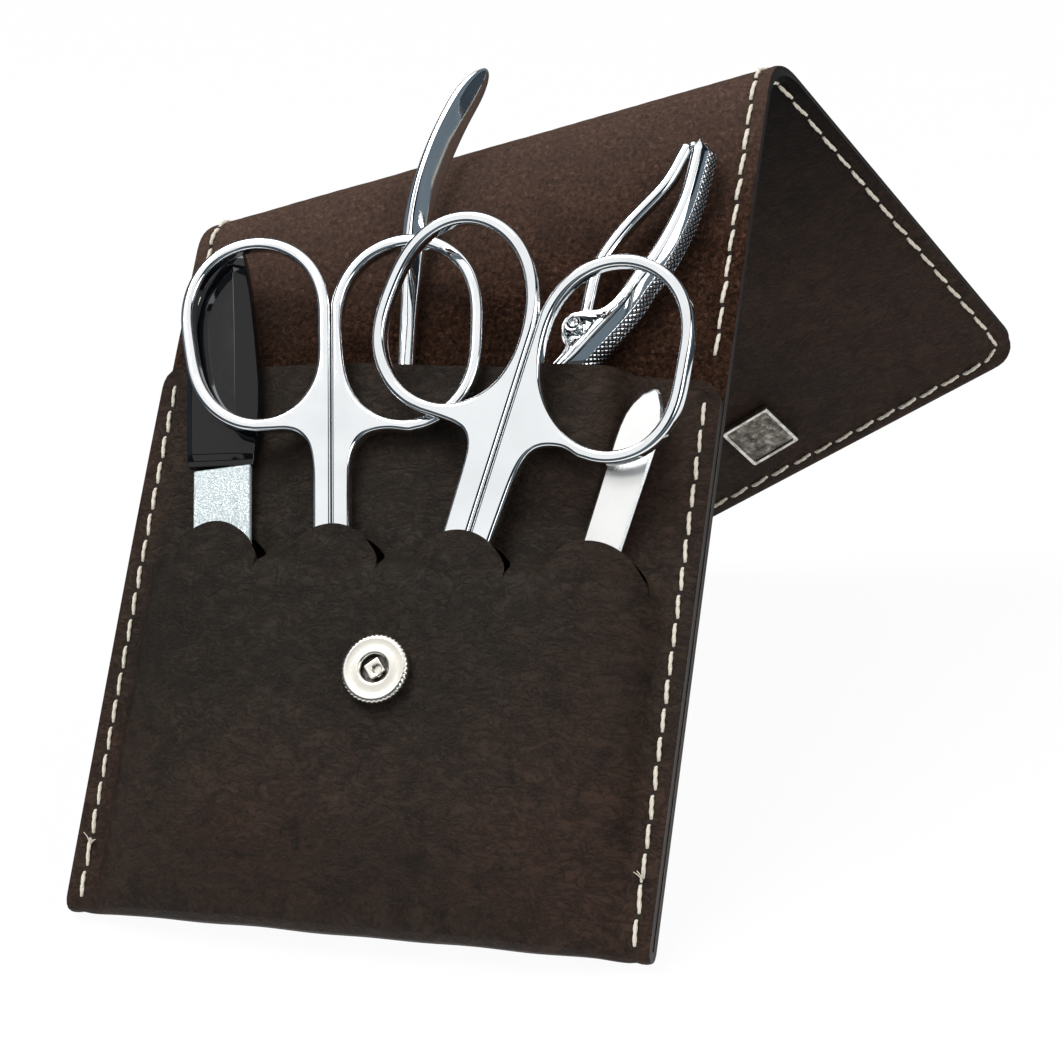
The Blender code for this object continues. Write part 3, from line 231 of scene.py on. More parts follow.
def bump(tree, shader, heights):
    """Stack bump nodes; each height is (output, strength, distance in mm)."""
    last = None
    for height, strength, distance in heights:
        node = add(tree, "ShaderNodeBump")
        node.inputs["Strength"].default_value = strength
        node.inputs["Distance"].default_value = distance * MM
        tree.links.new(height, node.inputs["Height"])
        if last is not None:
            tree.links.new(last, node.inputs["Normal"])
        last = node.outputs["Normal"]
    tree.links.new(last, shader.inputs["Normal"])


def strip_coords(tree):
    """The strip's own u and s as a texture vector, in millimetres."""
    uv = add(tree, "ShaderNodeUVMap", uv_map="Strip")
    scale = add(tree, "ShaderNodeVectorMath", operation="SCALE")
    scale.inputs["Scale"].default_value = 100.0
    tree.links.new(uv.outputs["UV"], scale.inputs[0])
    return scale.outputs["Vector"]


def object_coords(tree):
    """Object coordinates in millimetres."""
    node = add(tree, "ShaderNodeTexCoord")
    scale = add(tree, "ShaderNodeVectorMath", operation="SCALE")
    scale.inputs["Scale"].default_value = 1 / MM
    tree.links.new(node.outputs["Object"], scale.inputs[0])
    return scale.outputs["Vector"]


def leather_grain():
    """Oiled smooth leather: dark middle, redder low and at the edges, fine wrinkles, and painted shade on the flap's
    inside next to the ridge.
    """
    mat, tree, shader = new_material("leather_grain")
    vec = strip_coords(tree)
    split = add(tree, "ShaderNodeSeparateXYZ")
    tree.links.new(vec, split.inputs["Vector"])
    run = math_node(tree, "DIVIDE", split.outputs["Y"], 260.0)
    low = ramp(tree, run, [(0.0, (0.35,) * 3), (0.17, (0.08,) * 3), (0.30, (0.75,) * 3), (0.38, (0.5,) * 3), (0.8, (0.5,) * 3), (1.0, (0.8,) * 3)], True)
    across = math_node(tree, "DIVIDE", split.outputs["X"], CASE_WIDTH)
    rim = ramp(tree, across, [(0.0, (0.75,) * 3), (0.12, (0.05,) * 3), (0.6, (0.1,) * 3), (1.0, (0.7,) * 3)], True)
    broad = noise(tree, vec, 0.045, 4.0, 0.6, 0.4)
    red = math_node(tree, "MULTIPLY", math_node(tree, "ADD", low, rim), math_node(tree, "ADD", broad, 0.25))
    base = ramp(tree, red, [(0.12, (0.0190, 0.0158, 0.0115)), (0.45, (0.0275, 0.0182, 0.0124)), (0.85, (0.0415, 0.0222, 0.0145))])
    cloud = noise(tree, vec, 0.22, 5.0, 0.65, 0.5)
    base = mix(tree, ramp(tree, cloud, [(0.5, (0, 0, 0)), (0.75, (0.5,) * 3)]), base, (0.054, 0.034, 0.0235))
    base = mix(tree, ramp(tree, cloud, [(0.28, (0.85,) * 3), (0.48, (0, 0, 0))]), base, (0.0085, 0.0066, 0.0048))
    stretch = add(tree, "ShaderNodeMapping")
    stretch.inputs["Scale"].default_value = (0.8, 1.25, 1.0)
    tree.links.new(vec, stretch.inputs["Vector"])
    wrinkle = noise(tree, stretch.outputs["Vector"], 0.36, 6.0, 0.62, 1.5)
    folds = ramp(tree, wrinkle, [(0.42, (1, 1, 1)), (0.5, (0, 0, 0)), (0.58, (1, 1, 1))])
    fine = noise(tree, stretch.outputs["Vector"], 1.15, 5.0, 0.7, 0.9)
    fleck = noise(tree, vec, 2.6, 4.0, 0.75)
    base = mix(tree, grey(tree, folds, 0.5, 0.0), base, (0.006, 0.0045, 0.0035))
    base = mix(tree, grey(tree, fine, 0.55, 0.0, 0.36, 0.5), base, (0.008, 0.006, 0.0045))
    base = mix(tree, grey(tree, fleck, 0.0, 0.5, 0.5, 0.75), base, (0.068, 0.046, 0.034))
    # Painted shade: past the ridge line the flap's inside is darkened almost to black, fading out 58 mm beyond it.
    past = math_node(tree, "SUBTRACT", split.outputs["Y"], math_node(tree, "MULTIPLY", split.outputs["X"], math.tan(SLANT)))
    inner = math_node(tree, "MULTIPLY", math_node(tree, "GREATER_THAN", past, RIDGE_SIDE_RUN), grey(tree, past, 1.0, 0.0, RIDGE_SIDE_RUN + 8.0, RIDGE_SIDE_RUN + 58.0))
    base = mix(tree, inner, base, (0.0015, 0.001, 0.0008))
    tree.links.new(base, shader.inputs["Base Color"])
    tree.links.new(grey(tree, cloud, 0.42, 0.66), shader.inputs["Roughness"])
    shader.inputs["Specular IOR Level"].default_value = 0.11
    pebble = voronoi(tree, vec, 1.7, "SMOOTH_F1")
    bump(tree, shader, [(noise(tree, vec, 0.10, 3.0), 0.5, 0.5), (folds, 0.6, 0.14), (fine, 0.85, 0.24), (pebble, 0.7, 0.12), (fleck, 0.8, 0.08)])
    return mat


def leather_suede():
    mat, tree, shader = new_material("leather_suede")
    vec = strip_coords(tree)
    nap = noise(tree, vec, 1.3, 6.0, 0.78, 0.6)
    cloud = noise(tree, vec, 0.16, 5.0, 0.65)
    base = ramp(tree, nap, [(0.40, (0.006, 0.0028, 0.0017)), (0.50, (0.030, 0.0140, 0.0080)), (0.58, (0.052, 0.0245, 0.0145)), (0.68, (0.130, 0.072, 0.048))])
    base = mix(tree, ramp(tree, cloud, [(0.35, (0.6,) * 3), (0.55, (0, 0, 0))]), base, (0.014, 0.0070, 0.0045))
    base = mix(tree, ramp(tree, cloud, [(0.5, (0, 0, 0)), (0.75, (0.45,) * 3)]), base, (0.050, 0.0250, 0.0155))
    split = add(tree, "ShaderNodeSeparateXYZ")
    tree.links.new(vec, split.inputs["Vector"])
    near = math_node(tree, "SUBTRACT", split.outputs["Y"], math_node(tree, "MULTIPLY", split.outputs["X"], math.tan(SLANT)))
    # Painted light: the nap is lightened towards the ridge top, over the last 26 mm before the ridge line.
    painted_ridge_light = grey(tree, near, 0.0, 0.55, RIDGE_SIDE_RUN - 26.0, RIDGE_SIDE_RUN)
    base = mix(tree, math_node(tree, "MULTIPLY", painted_ridge_light, nap), base, (0.19, 0.130, 0.105))
    tree.links.new(base, shader.inputs["Base Color"])
    shader.inputs["Roughness"].default_value = 0.95
    shader.inputs["Specular IOR Level"].default_value = 0.04
    shader.inputs["Sheen Weight"].default_value = 0.03
    shader.inputs["Sheen Roughness"].default_value = 0.45
    # Painted shade: the knurl's grooves get a near-black base colour.
    shader.inputs["Sheen Tint"].default_value = (0.75, 0.5, 0.4, 1.0)
    bump(tree, shader, [(cloud, 0.4, 0.25), (nap, 0.9, 0.22), (noise(tree, vec, 5.0, 3.0, 0.7), 0.6, 0.07)])
    return mat


def leather_edge():
    mat, tree, shader = new_material("leather_cut_edge")
    vec = object_coords(tree)
    fibre = noise(tree, vec, 1.6, 5.0, 0.7)
    base = ramp(tree, fibre, [(0.3, (0.008, 0.0065, 0.0055)), (0.55, (0.018, 0.014, 0.011)), (0.8, (0.038, 0.029, 0.022))])
    tree.links.new(base, shader.inputs["Base Color"])
    shader.inputs["Roughness"].default_value = 0.6
    bump(tree, shader, [(fibre, 0.6, 0.1)])
    return mat


# The strip's shape

def profile(run):
    """Point and slope of the strip's inner face, run past the ridge line."""
    run = np.asarray(run, float)
    sag_radius = BACK_SAG_LENGTH / BACK_SAG_TURN
    turn = BACK_SAG_TURN * np.clip((np.minimum(run, 0) + BACK_SAG_LENGTH) / BACK_SAG_LENGTH, 0, 1)
    y = np.where(run <= -BACK_SAG_LENGTH, run, -BACK_SAG_LENGTH + sag_radius * np.sin(turn))
    z = -sag_radius * (1 - np.cos(turn))
    total = turn + RIDGE_TURN * np.clip(run, 0, RIDGE_ARC) / RIDGE_ARC
    y = y + RIDGE_RADIUS * (np.sin(total) - np.sin(turn))
    z = z - RIDGE_RADIUS * (np.cos(turn) - np.cos(total))
    past = np.maximum(run - RIDGE_ARC, 0.0)
    return y + past * np.cos(total), z - past * np.sin(total), total


def bend(u, v, w):
    """Place points of the flat strip, w off its inner face, on the bent strip."""
    u, v, w = (np.asarray(x, float) for x in (u, v, w))
    rise = v - RIDGE_LEFT_HEIGHT
    along = u * ALONG[0] + rise * ALONG[1]
    y, z, turn = profile(u * ACROSS[0] + rise * ACROSS[1])
    y = y + w * np.sin(turn)
    z = z + w * np.cos(turn)
    return np.stack([along * ALONG[0] + y * ACROSS[0], along * ALONG[1] + y * ACROSS[1] + RIDGE_LEFT_HEIGHT, z], -1)


def upper_standoff(u, v):
    left = smooth(UPPER_LEFT_START, UPPER_LEFT_RUN, u)
    right = smooth(0.0, UPPER_RIGHT_RUN, CASE_WIDTH - SEAM_MARGIN - u)
    swell = 1 - smooth(NIPPER_SWELL_HALF, NIPPER_SWELL_FALL, np.abs(u - NIPPER_U))
    swell = swell * smooth(NIPPER_JAW_TIP_V - NIPPER_SWELL_RISE, NIPPER_SWELL_RISE, v)
    low = SEAM_STANDOFF + UPPER_STANDOFF * left * right
    return low + (NIPPER_SWELL_STANDOFF - low) * swell


def lower_standoff(u, v):
    middle = CASE_WIDTH / 2
    off = np.minimum(np.abs(u - middle) / (middle - SEAM_MARGIN), 1.0)
    across = (1 - off ** 3.4) ** 0.64 * smooth(-0.02, 0.11, 1 - off)
    rise = smooth(-BULGE_RISE_HEIGHT / 4, BULGE_RISE_HEIGHT, v)
    height = FOLD_STANDOFF + (BULGE_STANDOFF - FOLD_STANDOFF) * rise
    height = height * (1 - 0.1 * smooth(0.0, BULGE_RISE_HEIGHT, LIFT_TOP - LIFT_RUN - v))
    return SEAM_STANDOFF + height * across


def standoff(u, v, tab=None, lip=None):
    """Inner face of the pocket front; tab and lip name the side of a slit."""
    lift = 1 - smooth(LIFT_TOP - LIFT_RUN, LIFT_RUN, v)
    for index in range(TAB_COUNT):
        du = u - (TAB_FIRST + index * TAB_PITCH)
        dv = v - TAB_BASE_HEIGHT
        reach = np.hypot(du, dv)
        steep = smooth(0.0, 0.7, dv / np.maximum(reach, 1e-6))
        near = np.exp(-(((reach - TAB_RADIUS) / SLIT_REACH) ** 2))
        inside = reach < TAB_RADIUS
        if tab is not None:
            inside = np.where(tab == index, lip > 0, inside)
            near = np.where(tab == index, 1.0, near)
        lift = np.where(inside, lift + (1 - lift) * steep, lift * (1 - steep * near))
    low = upper_standoff(u, v)
    height = low + (lower_standoff(u, v) - low) * lift
    seat = 1 - smooth(6.4, 6.0, np.hypot(u - STUD_U, v - STUD_V))
    flat = lower_standoff(STUD_U, STUD_V) + STUD_RISE * (v - STUD_V)
    return height + (flat - height) * seat


def strip_point(u, s, tab=None, lip=None):
    """Middle of the leather; s runs down the front, round and up to the flap edge."""
    base = (standoff(u, np.full_like(u, FOLD_LINE)) + LEATHER) / 2 + HALF
    low = base - FOLD_LINE
    v = POCKET_HEIGHT - s
    shown = np.maximum(v + low * (1 - smooth(0.0, FOLD_LINE * 3, v - FOLD_LINE)), base)
    front = bend(u, shown, standoff(u, shown, tab, lip) + HALF)
    over = s - FRONT_RUN
    radius = (standoff(u, base) + LEATHER) / 2
    turn = math.pi * np.clip(over / FOLD_RUN, 0, 1)
    fold = bend(u, base - radius * np.sin(turn), radius - HALF + radius * np.cos(turn))
    v = FOLD_LINE + over - FOLD_RUN
    back = bend(u, v + low * (1 - smooth(0.0, FOLD_LINE * 3, v - FOLD_LINE)), np.full_like(u, -HALF))
    return np.where((s <= FRONT_RUN)[:, None], front, np.where((over < FOLD_RUN)[:, None], fold, back))


def strip_frame(u, s, tab=None, lip=None):
    """Middle points and outward (grain side) normals."""
    u, s = np.asarray(u, float), np.asarray(s, float)
    step = 0.15
    du = strip_point(u + step, s, tab, lip) - strip_point(u - step, s, tab, lip)
    ds = strip_point(u, s - step, tab, lip) - strip_point(u, s + step, tab, lip)
    normal = np.cross(du, ds)
    normal /= np.linalg.norm(normal, axis=1)[:, None]
    return strip_point(u, s, tab, lip), normal


def rounded_corner(corner, radius, inward, steps=6):
    """Arc that rounds one right-angled corner of the pattern."""
    center = np.array(corner) + radius * np.array(inward)
    out = []
    for k in range(steps + 1):
        a = math.pi / 2 * k / steps
        out.append(tuple(center - radius * np.array([inward[0] * math.cos(a), inward[1] * math.sin(a)])))
    return out


def divide(points, spacing):
    out = []
    for i, point in enumerate(points):
        a, b = np.array(point), np.array(points[(i + 1) % len(points)])
        parts = max(1, math.ceil(float(np.linalg.norm(b - a)) / spacing - 0.2))
        out += [tuple(a + (b - a) * k / parts) for k in range(parts)]
    return out


def pattern_outline(inset=0.0):
    low, high = inset, CASE_WIDTH - inset
    top, end = inset, FLAP_EDGE_RUN - inset
    mouth = MOUTH_CORNER_RADIUS - inset
    flap = FLAP_CORNER_RADIUS - inset
    points = rounded_corner((low, top), mouth, (1, 1))
    points += rounded_corner((high, top), mouth, (-1, 1))[::-1]
    points += rounded_corner((high, end), flap, (-1, -1), 8)
    points += rounded_corner((low, end), flap, (1, -1), 8)[::-1]
    return points


def slit_line(index, count=28):
    center = np.array([TAB_FIRST + index * TAB_PITCH, POCKET_HEIGHT - TAB_BASE_HEIGHT])
    angles = [math.pi * k / count for k in range(count + 1)]
    return center, [tuple(center + TAB_RADIUS * np.array([math.cos(a), -math.sin(a)])) for a in angles]


def leather_relief(u, s):
    """Soft unevenness of the hide and the furrow that the stitches press."""
    wave = 0.10 * np.sin(u * 0.21 + 1.3) * np.sin(s * 0.13 + 0.4) + 0.07 * np.sin(u * 0.37 - s * 0.29)
    seam = np.minimum(u, CASE_WIDTH - u)
    seam = np.where(s > FRONT_RUN, np.minimum(seam, FLAP_EDGE_RUN - s), seam)
    furrow = -0.16 * np.exp(-(((seam - STITCH_INSET) / 0.55) ** 2))
    rim = -0.22 * np.clip(1 - seam / 0.7, 0, 1) ** 2
    return wave * smooth(3.0, 6.0, seam) + furrow + rim


STITCH_INSET = 2.4
STITCH_PITCH = 4.33


def build_strip():
    spacing = 1.15
    outline = divide(pattern_outline(), spacing)
    points = list(outline)
    edges = [(i, (i + 1) % len(outline)) for i in range(len(outline))]
    slit_of = {}
    centers = []
    for index in range(TAB_COUNT):
        center, line = slit_line(index)
        centers.append(center)
        first = len(points)
        points += line
        edges += [(first + i, first + i + 1) for i in range(len(line) - 1)]
        for i in range(1, len(line) - 1):
            slit_of[first + i] = index
        for grow in (-0.35, 0.35):
            ring = center + (np.array(line) - center) * (1 + grow / TAB_RADIUS)
            points += [tuple(p) for p in ring[1:-1]]
    for inset in (0.25, 0.7, 1.5):
        points += divide(pattern_outline(inset), spacing)
    fixed = np.array(points)
    rows = round(FLAP_EDGE_RUN / spacing)
    columns = round(CASE_WIDTH / spacing)
    s_grid, u_grid = np.meshgrid(np.arange(1, rows) / rows * FLAP_EDGE_RUN, np.arange(1, columns) / columns * CASE_WIDTH, indexing="ij")
    fill = np.stack([u_grid.ravel(), s_grid.ravel()], 1)
    inside = (fill[:, 0] > 2.0) & (fill[:, 0] < CASE_WIDTH - 2.0) & (fill[:, 1] > 2.0) & (fill[:, 1] < FLAP_EDGE_RUN - 2.0)
    for corner, radius in (((0, FLAP_EDGE_RUN), 6.0), ((CASE_WIDTH, FLAP_EDGE_RUN), 6.0)):
        inside &= np.hypot(fill[:, 0] - corner[0], fill[:, 1] - corner[1]) > 4.5
    for center in centers:
        off = np.abs(np.hypot(*(fill - center).T) - TAB_RADIUS)
        inside &= (off > 0.8) | (fill[:, 1] > center[1] + 0.6)
    points = [tuple(p) for p in fixed] + [tuple(p) for p in fill[inside]]
    found = geometry.delaunay_2d_cdt([Vector(p) for p in points], edges, [], 0, 1e-4, True)
    spots = np.array([tuple(p) for p in found[0]])
    slit_vert = {}
    for i, sources in enumerate(found[3]):
        for source in sources:
            if source in slit_of:
                slit_vert[i] = slit_of[source]
    keys, index_of, triangles = [], {}, []
    for face in found[2]:
        middle = spots[list(face)].mean(axis=0)
        corners = []
        for i in face:
            key = (i, -1, 0)
            if i in slit_vert:
                tab = slit_vert[i]
                chord = math.cos(math.pi / 56)
                lip = 1 if np.linalg.norm(middle - centers[tab]) < TAB_RADIUS * chord else 0
                key = (i, tab, lip)
            if key not in index_of:
                index_of[key] = len(keys)
                keys.append(key)
            corners.append(index_of[key])
        triangles.append(corners)
    tab = np.array([k[1] for k in keys])
    lip = np.array([k[2] for k in keys])
    flat = spots[[k[0] for k in keys]]
    shifted = flat.copy()
    for index, center in enumerate(centers):
        on = tab == index
        away = flat[on] - center
        away /= np.linalg.norm(away, axis=1)[:, None]
        ease = np.minimum(1.0, 2.5 * np.abs(away[:, 1]))
        shifted[on] += away * (SLIT_KERF / 2 * ease * np.where(lip[on] > 0, -1, 1))[:, None]
    u, s = shifted[:, 0], shifted[:, 1]
    middle, normal = strip_frame(u, s, tab, lip)
    relief = leather_relief(u, s)
    outer = middle + normal * (HALF + relief)[:, None]
    inner = middle - normal * (HALF + np.minimum(relief, 0))[:, None]
    used = {}
    for a, b, c in triangles:
        for edge in ((a, b), (b, c), (c, a)):
            if edge[::-1] in used:
                del used[edge[::-1]]
            else:
                used[edge] = True
    count = len(keys)
    verts = np.concatenate([outer, inner])
    faces = [tuple(t) for t in triangles] + [tuple(count + i for i in reversed(t)) for t in triangles]
    slots = [0] * len(triangles) + [1] * len(triangles)
    seam_verts, extra, uv_extra = {}, [], []
    for a, b in used:
        for i in (a, b):
            if i not in seam_verts:
                seam_verts[i] = len(verts) + len(extra)
                extra.append(middle[i])
                uv_extra.append(shifted[i])
        faces += [(a, seam_verts[a], seam_verts[b], b), (seam_verts[a], count + a, count + b, seam_verts[b])]
        slots += [2, 2]
    push = np.array(extra)
    ends = {}
    for a, b in used:
        side = np.cross(middle[b] - middle[a], normal[a])
        side /= max(np.linalg.norm(side), 1e-9)
        for i in (a, b):
            ends[i] = ends.get(i, 0) + side
    for k, i in enumerate(seam_verts):
        push[k] += ends[i] / max(np.linalg.norm(ends[i]), 1e-9) * 0.14
    verts = np.concatenate([verts, push])
    uv = np.concatenate([shifted, shifted, np.array(uv_extra)])
    mesh = bpy.data.meshes.new("leather_strip")
    mesh.from_pydata([tuple(p) for p in to_world(verts)], [], faces)
    mesh.materials.append(leather_grain())
    mesh.materials.append(leather_suede())
    mesh.materials.append(leather_edge())
    mesh.polygons.foreach_set("material_index", slots)
    layer = mesh.uv_layers.new(name="Strip")
    loops = np.zeros(len(mesh.loops), np.int32)
    mesh.loops.foreach_get("vertex_index", loops)
    layer.data.foreach_set("uv", (uv[loops] / 100.0).ravel())
    mesh.shade_smooth()
    mesh.set_sharp_from_angle(angle=math.radians(50))
    obj = bpy.data.objects.new("leather_strip", mesh)
    bpy.context.scene.collection.objects.link(obj)
    return obj


def blend_to_flap(obj):
    """Bake the object's transform into its mesh; the ridge profile worked out at both ends of the arc goes unused."""
    for run in (0.0, RIDGE_ARC):
        y, z, turn = profile(run)
    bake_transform(obj)


def carry(piece, body, slot, *nodes):
    """Let a piece ride on a body and stand for CAD nodes, which it hides; slot, its finish, is not used."""
    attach(piece, body)
    if nodes:
        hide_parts(*nodes)


strip = build_strip()
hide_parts("case_leather", "ridge_leather", "flap_leather")
blend_to_flap(strip)

# Shared shape helpers

def frame_matrix(place, x_axis, y_axis, z_axis):
    basis = Matrix((x_axis, y_axis, z_axis)).transposed().to_4x4()
    return Matrix.Translation(place) @ basis


# Each tool's own frame at rest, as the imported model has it
FRAMES = {
    "file": frame_matrix((-0.046766, -0.021882, 0.055623), (0.984808, 0.117337, 0.128006), (-0.173648, 0.665452, 0.725961), (0, -0.73716, 0.675718)),
    "grip": frame_matrix((-0.047266, -0.021882, 0.055623), (0.996779, 0.054192, 0.059119), (-0.080199, 0.673542, 0.734786), (0, -0.73716, 0.675718)),
    "nail": frame_matrix((-0.024066, -0.03902, 0.040403), (0.986095, 0.124535, 0.110033), (-0.165032, 0.656094, 0.736414), (0.019517, -0.744333, 0.667523)),
    "cuticle": frame_matrix((-0.006766, -0.038793, 0.039246), (0.976296, -0.146252, -0.159551), (0.214538, 0.556412, 0.802732), (-0.028626, -0.817934, 0.574599)),
    "cleaner": frame_matrix((0.020034, -0.019578, 0.061244), (0.978148, -0.14049, -0.153264), (0.207121, 0.594189, 0.7772), (-0.018121, -0.791961, 0.610303)),
    "pusher": frame_matrix((-0.015966, -0.035562, 0.036555), (0.994522, 0.070632, 0.077054), (-0.104525, 0.678424, 0.727197), (-0.000912, -0.731268, 0.68209)),
    "nipper": frame_matrix((0.008034, -0.004239, 0.07228), (0.99863, -0.035364, -0.03858), (0.052336, 0.674792, 0.73615), (0, -0.73716, 0.675718)),
    "stud": frame_matrix((-0.013066, -0.049354, 0.036039), (1, 0, 0), (0, 0.653309, 0.757091), (0, -0.757091, 0.653309)),
    "cap": frame_matrix((0.017778, 0.059792, 0.030317), (-0.869805, -0.075071, -0.487651), (0.410204, 0.439194, -0.799276), (0.274176, -0.89525, -0.351219)),
}


def spline(knots, closed=True, parts=8):
    """Smooth line through the knots, centripetal enough for even knots."""
    knots = [np.array(k, float) for k in knots]
    count = len(knots)
    out = []
    last = count if closed else count - 1
    for i in range(last):
        if closed:
            p = [knots[(i + k) % count] for k in (-1, 0, 1, 2)]
        else:
            p = [knots[min(max(i + k, 0), count - 1)] for k in (-1, 0, 1, 2)]
        for j in range(parts):
            t = j / parts
            a = 2 * p[1] + (p[2] - p[0]) * t
            b = (2 * p[0] - 5 * p[1] + 4 * p[2] - p[3]) * t * t
            c = (3 * p[1] - p[0] - 3 * p[2] + p[3]) * t ** 3
            out.append((a + b + c) / 2)
    if not closed:
        out.append(knots[-1])
    return np.array(out)


def fitted_ring(knots, order=4, count=120):
    """Low-order closed curve through noisy knots, as centre, angles and radii."""
    knots = np.array(knots, float)
    center = (knots.min(axis=0) + knots.max(axis=0)) / 2
    off = knots - center
    angles = np.arctan2(off[:, 1], off[:, 0])
    radii = np.hypot(off[:, 0], off[:, 1])

    def terms(a):
        rows = [np.ones_like(a)]
        for k in range(1, order + 1):
            rows += [np.cos(k * a), np.sin(k * a)]
        return np.stack(rows, 1)

    share = np.linalg.lstsq(terms(angles), radii, rcond=None)[0]
    a = np.linspace(0, 2 * math.pi, count, endpoint=False)
    r = terms(a) @ share
    return np.stack([center[0] + r * np.cos(a), center[1] + r * np.sin(a)], 1)


def grown(loop, by):
    """Closed counter-clockwise loop moved outwards."""
    ahead = np.roll(loop, -1, axis=0) - np.roll(loop, 1, axis=0)
    ahead /= np.linalg.norm(ahead, axis=1)[:, None]
    return loop + by * np.stack([ahead[:, 1], -ahead[:, 0]], 1)


def plate(name, loops, low, high, ease, ease_steps=3, parent=None):
    """Flat piece from outlines, hole loops included, with rounded rims."""
    curve = bpy.data.curves.new(name, "CURVE")
    curve.dimensions = "2D"
    curve.fill_mode = "BOTH"
    curve.extrude = max((high - low) / 2 - ease, 0.0) * MM
    curve.bevel_depth = ease * MM
    curve.bevel_resolution = ease_steps
    curve.offset = -ease * MM
    for loop in loops:
        line = curve.splines.new("POLY")
        line.points.add(len(loop) - 1)
        line.points.foreach_set("co", [c for x, y in loop for c in (x * MM, y * MM, 0.0, 1.0)])
        line.use_cyclic_u = True
    temp = bpy.data.objects.new(name + "_line", curve)
    bpy.context.scene.collection.objects.link(temp)
    graph = bpy.context.evaluated_depsgraph_get()
    mesh = bpy.data.meshes.new_from_object(temp.evaluated_get(graph))
    bpy.data.objects.remove(temp, do_unlink=True)
    bpy.data.curves.remove(curve)
    bm = bmesh.new()
    bm.from_mesh(mesh)
    bmesh.ops.remove_doubles(bm, verts=bm.verts, dist=0.004 * MM)
    bmesh.ops.translate(bm, verts=bm.verts, vec=(0, 0, (low + high) / 2 * MM))
    bmesh.ops.recalc_face_normals(bm, faces=bm.faces)
    bm.to_mesh(mesh)
    bm.free()
    return mesh


def join(name, parts, frame, sharp=38):
    """One object from several meshes in a tool's frame, put in row-frame metres."""
    bm = bmesh.new()
    for mesh in parts:
        bm.from_mesh(mesh)
    bm.transform(frame)
    mesh = bpy.data.meshes.new(name)
    bm.to_mesh(mesh)
    bm.free()
    for part in parts:
        bpy.data.meshes.remove(part)
    mesh.materials.clear()
    mesh.shade_smooth()
    mesh.set_sharp_from_angle(angle=math.radians(sharp))
    obj = bpy.data.objects.new(name, mesh)
    bpy.context.scene.collection.objects.link(obj)
    return obj


def even(obj):
    """Keep broad flat faces flat under smooth shading."""
    mod = obj.modifiers.new("even", "WEIGHTED_NORMAL")
    mod.keep_sharp = True
    mod.weight = 100


def lathe(profile_points, count=64, teeth=0, tooth=0.0, tooth_rings=()):
    """Turned form about z; some rings may be knurled."""
    bm = bmesh.new()
    loops = []
    for row, (radius, height) in enumerate(profile_points):
        loop = []
        for k in range(count):
            a = 2 * math.pi * k / count
            r = radius
            if row in tooth_rings:
                r -= tooth * (0.5 + 0.5 * math.cos(teeth * a))
            loop.append(bm.verts.new((r * math.cos(a) * MM, r * math.sin(a) * MM, height * MM)))
        loops.append(loop)
    for low, high in zip(loops, loops[1:]):
        for k in range(count):
            j = (k + 1) % count
            bm.faces.new([low[k], low[j], high[j], high[k]])
    bm.faces.new(loops[0][::-1])
    bm.faces.new(loops[-1])
    bmesh.ops.recalc_face_normals(bm, faces=bm.faces)
    mesh = bpy.data.meshes.new("lathe")
    bm.to_mesh(mesh)
    bm.free()
    return mesh


def cut(mesh, tools, kind="DIFFERENCE"):
    """Exact Boolean of one mesh with others, all in the same frame."""
    base = bpy.data.objects.new("base", mesh)
    bpy.context.scene.collection.objects.link(base)
    helpers = []
    for tool in tools:
        helper = bpy.data.objects.new("helper", tool)
        bpy.context.scene.collection.objects.link(helper)
        mod = base.modifiers.new("cut", "BOOLEAN")
        mod.operation = kind
        mod.solver = "EXACT"
        mod.object = helper
        helpers.append(helper)
    graph = bpy.context.evaluated_depsgraph_get()
    made = bpy.data.meshes.new_from_object(base.evaluated_get(graph))
    for obj in helpers + [base]:
        bpy.data.objects.remove(obj, do_unlink=True)
    for tool in tools:
        bpy.data.meshes.remove(tool)
    bpy.data.meshes.remove(mesh)
    return made


# Metals and gloss

def steel(name, color, rough, scratch=0.0, brushed=None):
    """Bright metal with faint smears; brushed is a stretch for fine lines."""
    mat, tree, shader = new_material(name)
    vec = object_coords(tree)
    smear = noise(tree, vec, 0.09, 4.0, 0.6)
    dark = tuple(c * 0.93 for c in color)
    tree.links.new(ramp(tree, smear, [(0.35, dark), (0.65, color)]), shader.inputs["Base Color"])
    shader.inputs["Metallic"].default_value = 1.0
    heights = []
    if brushed:
        turn = add(tree, "ShaderNodeMapping")
        turn.inputs["Scale"].default_value = brushed
        tree.links.new(vec, turn.inputs["Vector"])
        lines = noise(tree, turn.outputs["Vector"], 1.0, 5.0, 0.7)
        tree.links.new(grey(tree, lines, rough * 0.75, rough * 1.35), shader.inputs["Roughness"])
        heights.append((lines, 0.12, 0.05))
    else:
        tree.links.new(grey(tree, smear, rough * 0.7, rough * 1.5), shader.inputs["Roughness"])
    if scratch:
        heights.append((noise(tree, vec, 0.5, 3.0, 0.5), scratch, 0.05))
    if heights:
        bump(tree, shader, heights)
    return mat


CHROME = steel("polished_steel", (0.87, 0.895, 0.91), 0.05, 0.02)
SATIN = steel("satin_steel", (0.80, 0.80, 0.79), 0.24, 0.0, (3.0, 0.15, 3.0))
NICKEL = steel("bright_nickel", (0.80, 0.77, 0.70), 0.2, 0.06)


def gloss_black():
    mat, tree, shader = new_material("black_gloss")
    vec = object_coords(tree)
    shader.inputs["Base Color"].default_value = (0.004, 0.004, 0.005, 1.0)
    tree.links.new(grey(tree, noise(tree, vec, 0.4, 4.0), 0.04, 0.10), shader.inputs["Roughness"])
    shader.inputs["Specular IOR Level"].default_value = 0.3
    shader.inputs["Coat Weight"].default_value = 0.1
    shader.inputs["Coat Roughness"].default_value = 0.03
    bump(tree, shader, [(noise(tree, vec, 0.25, 2.0), 0.12, 0.1)])
    return mat


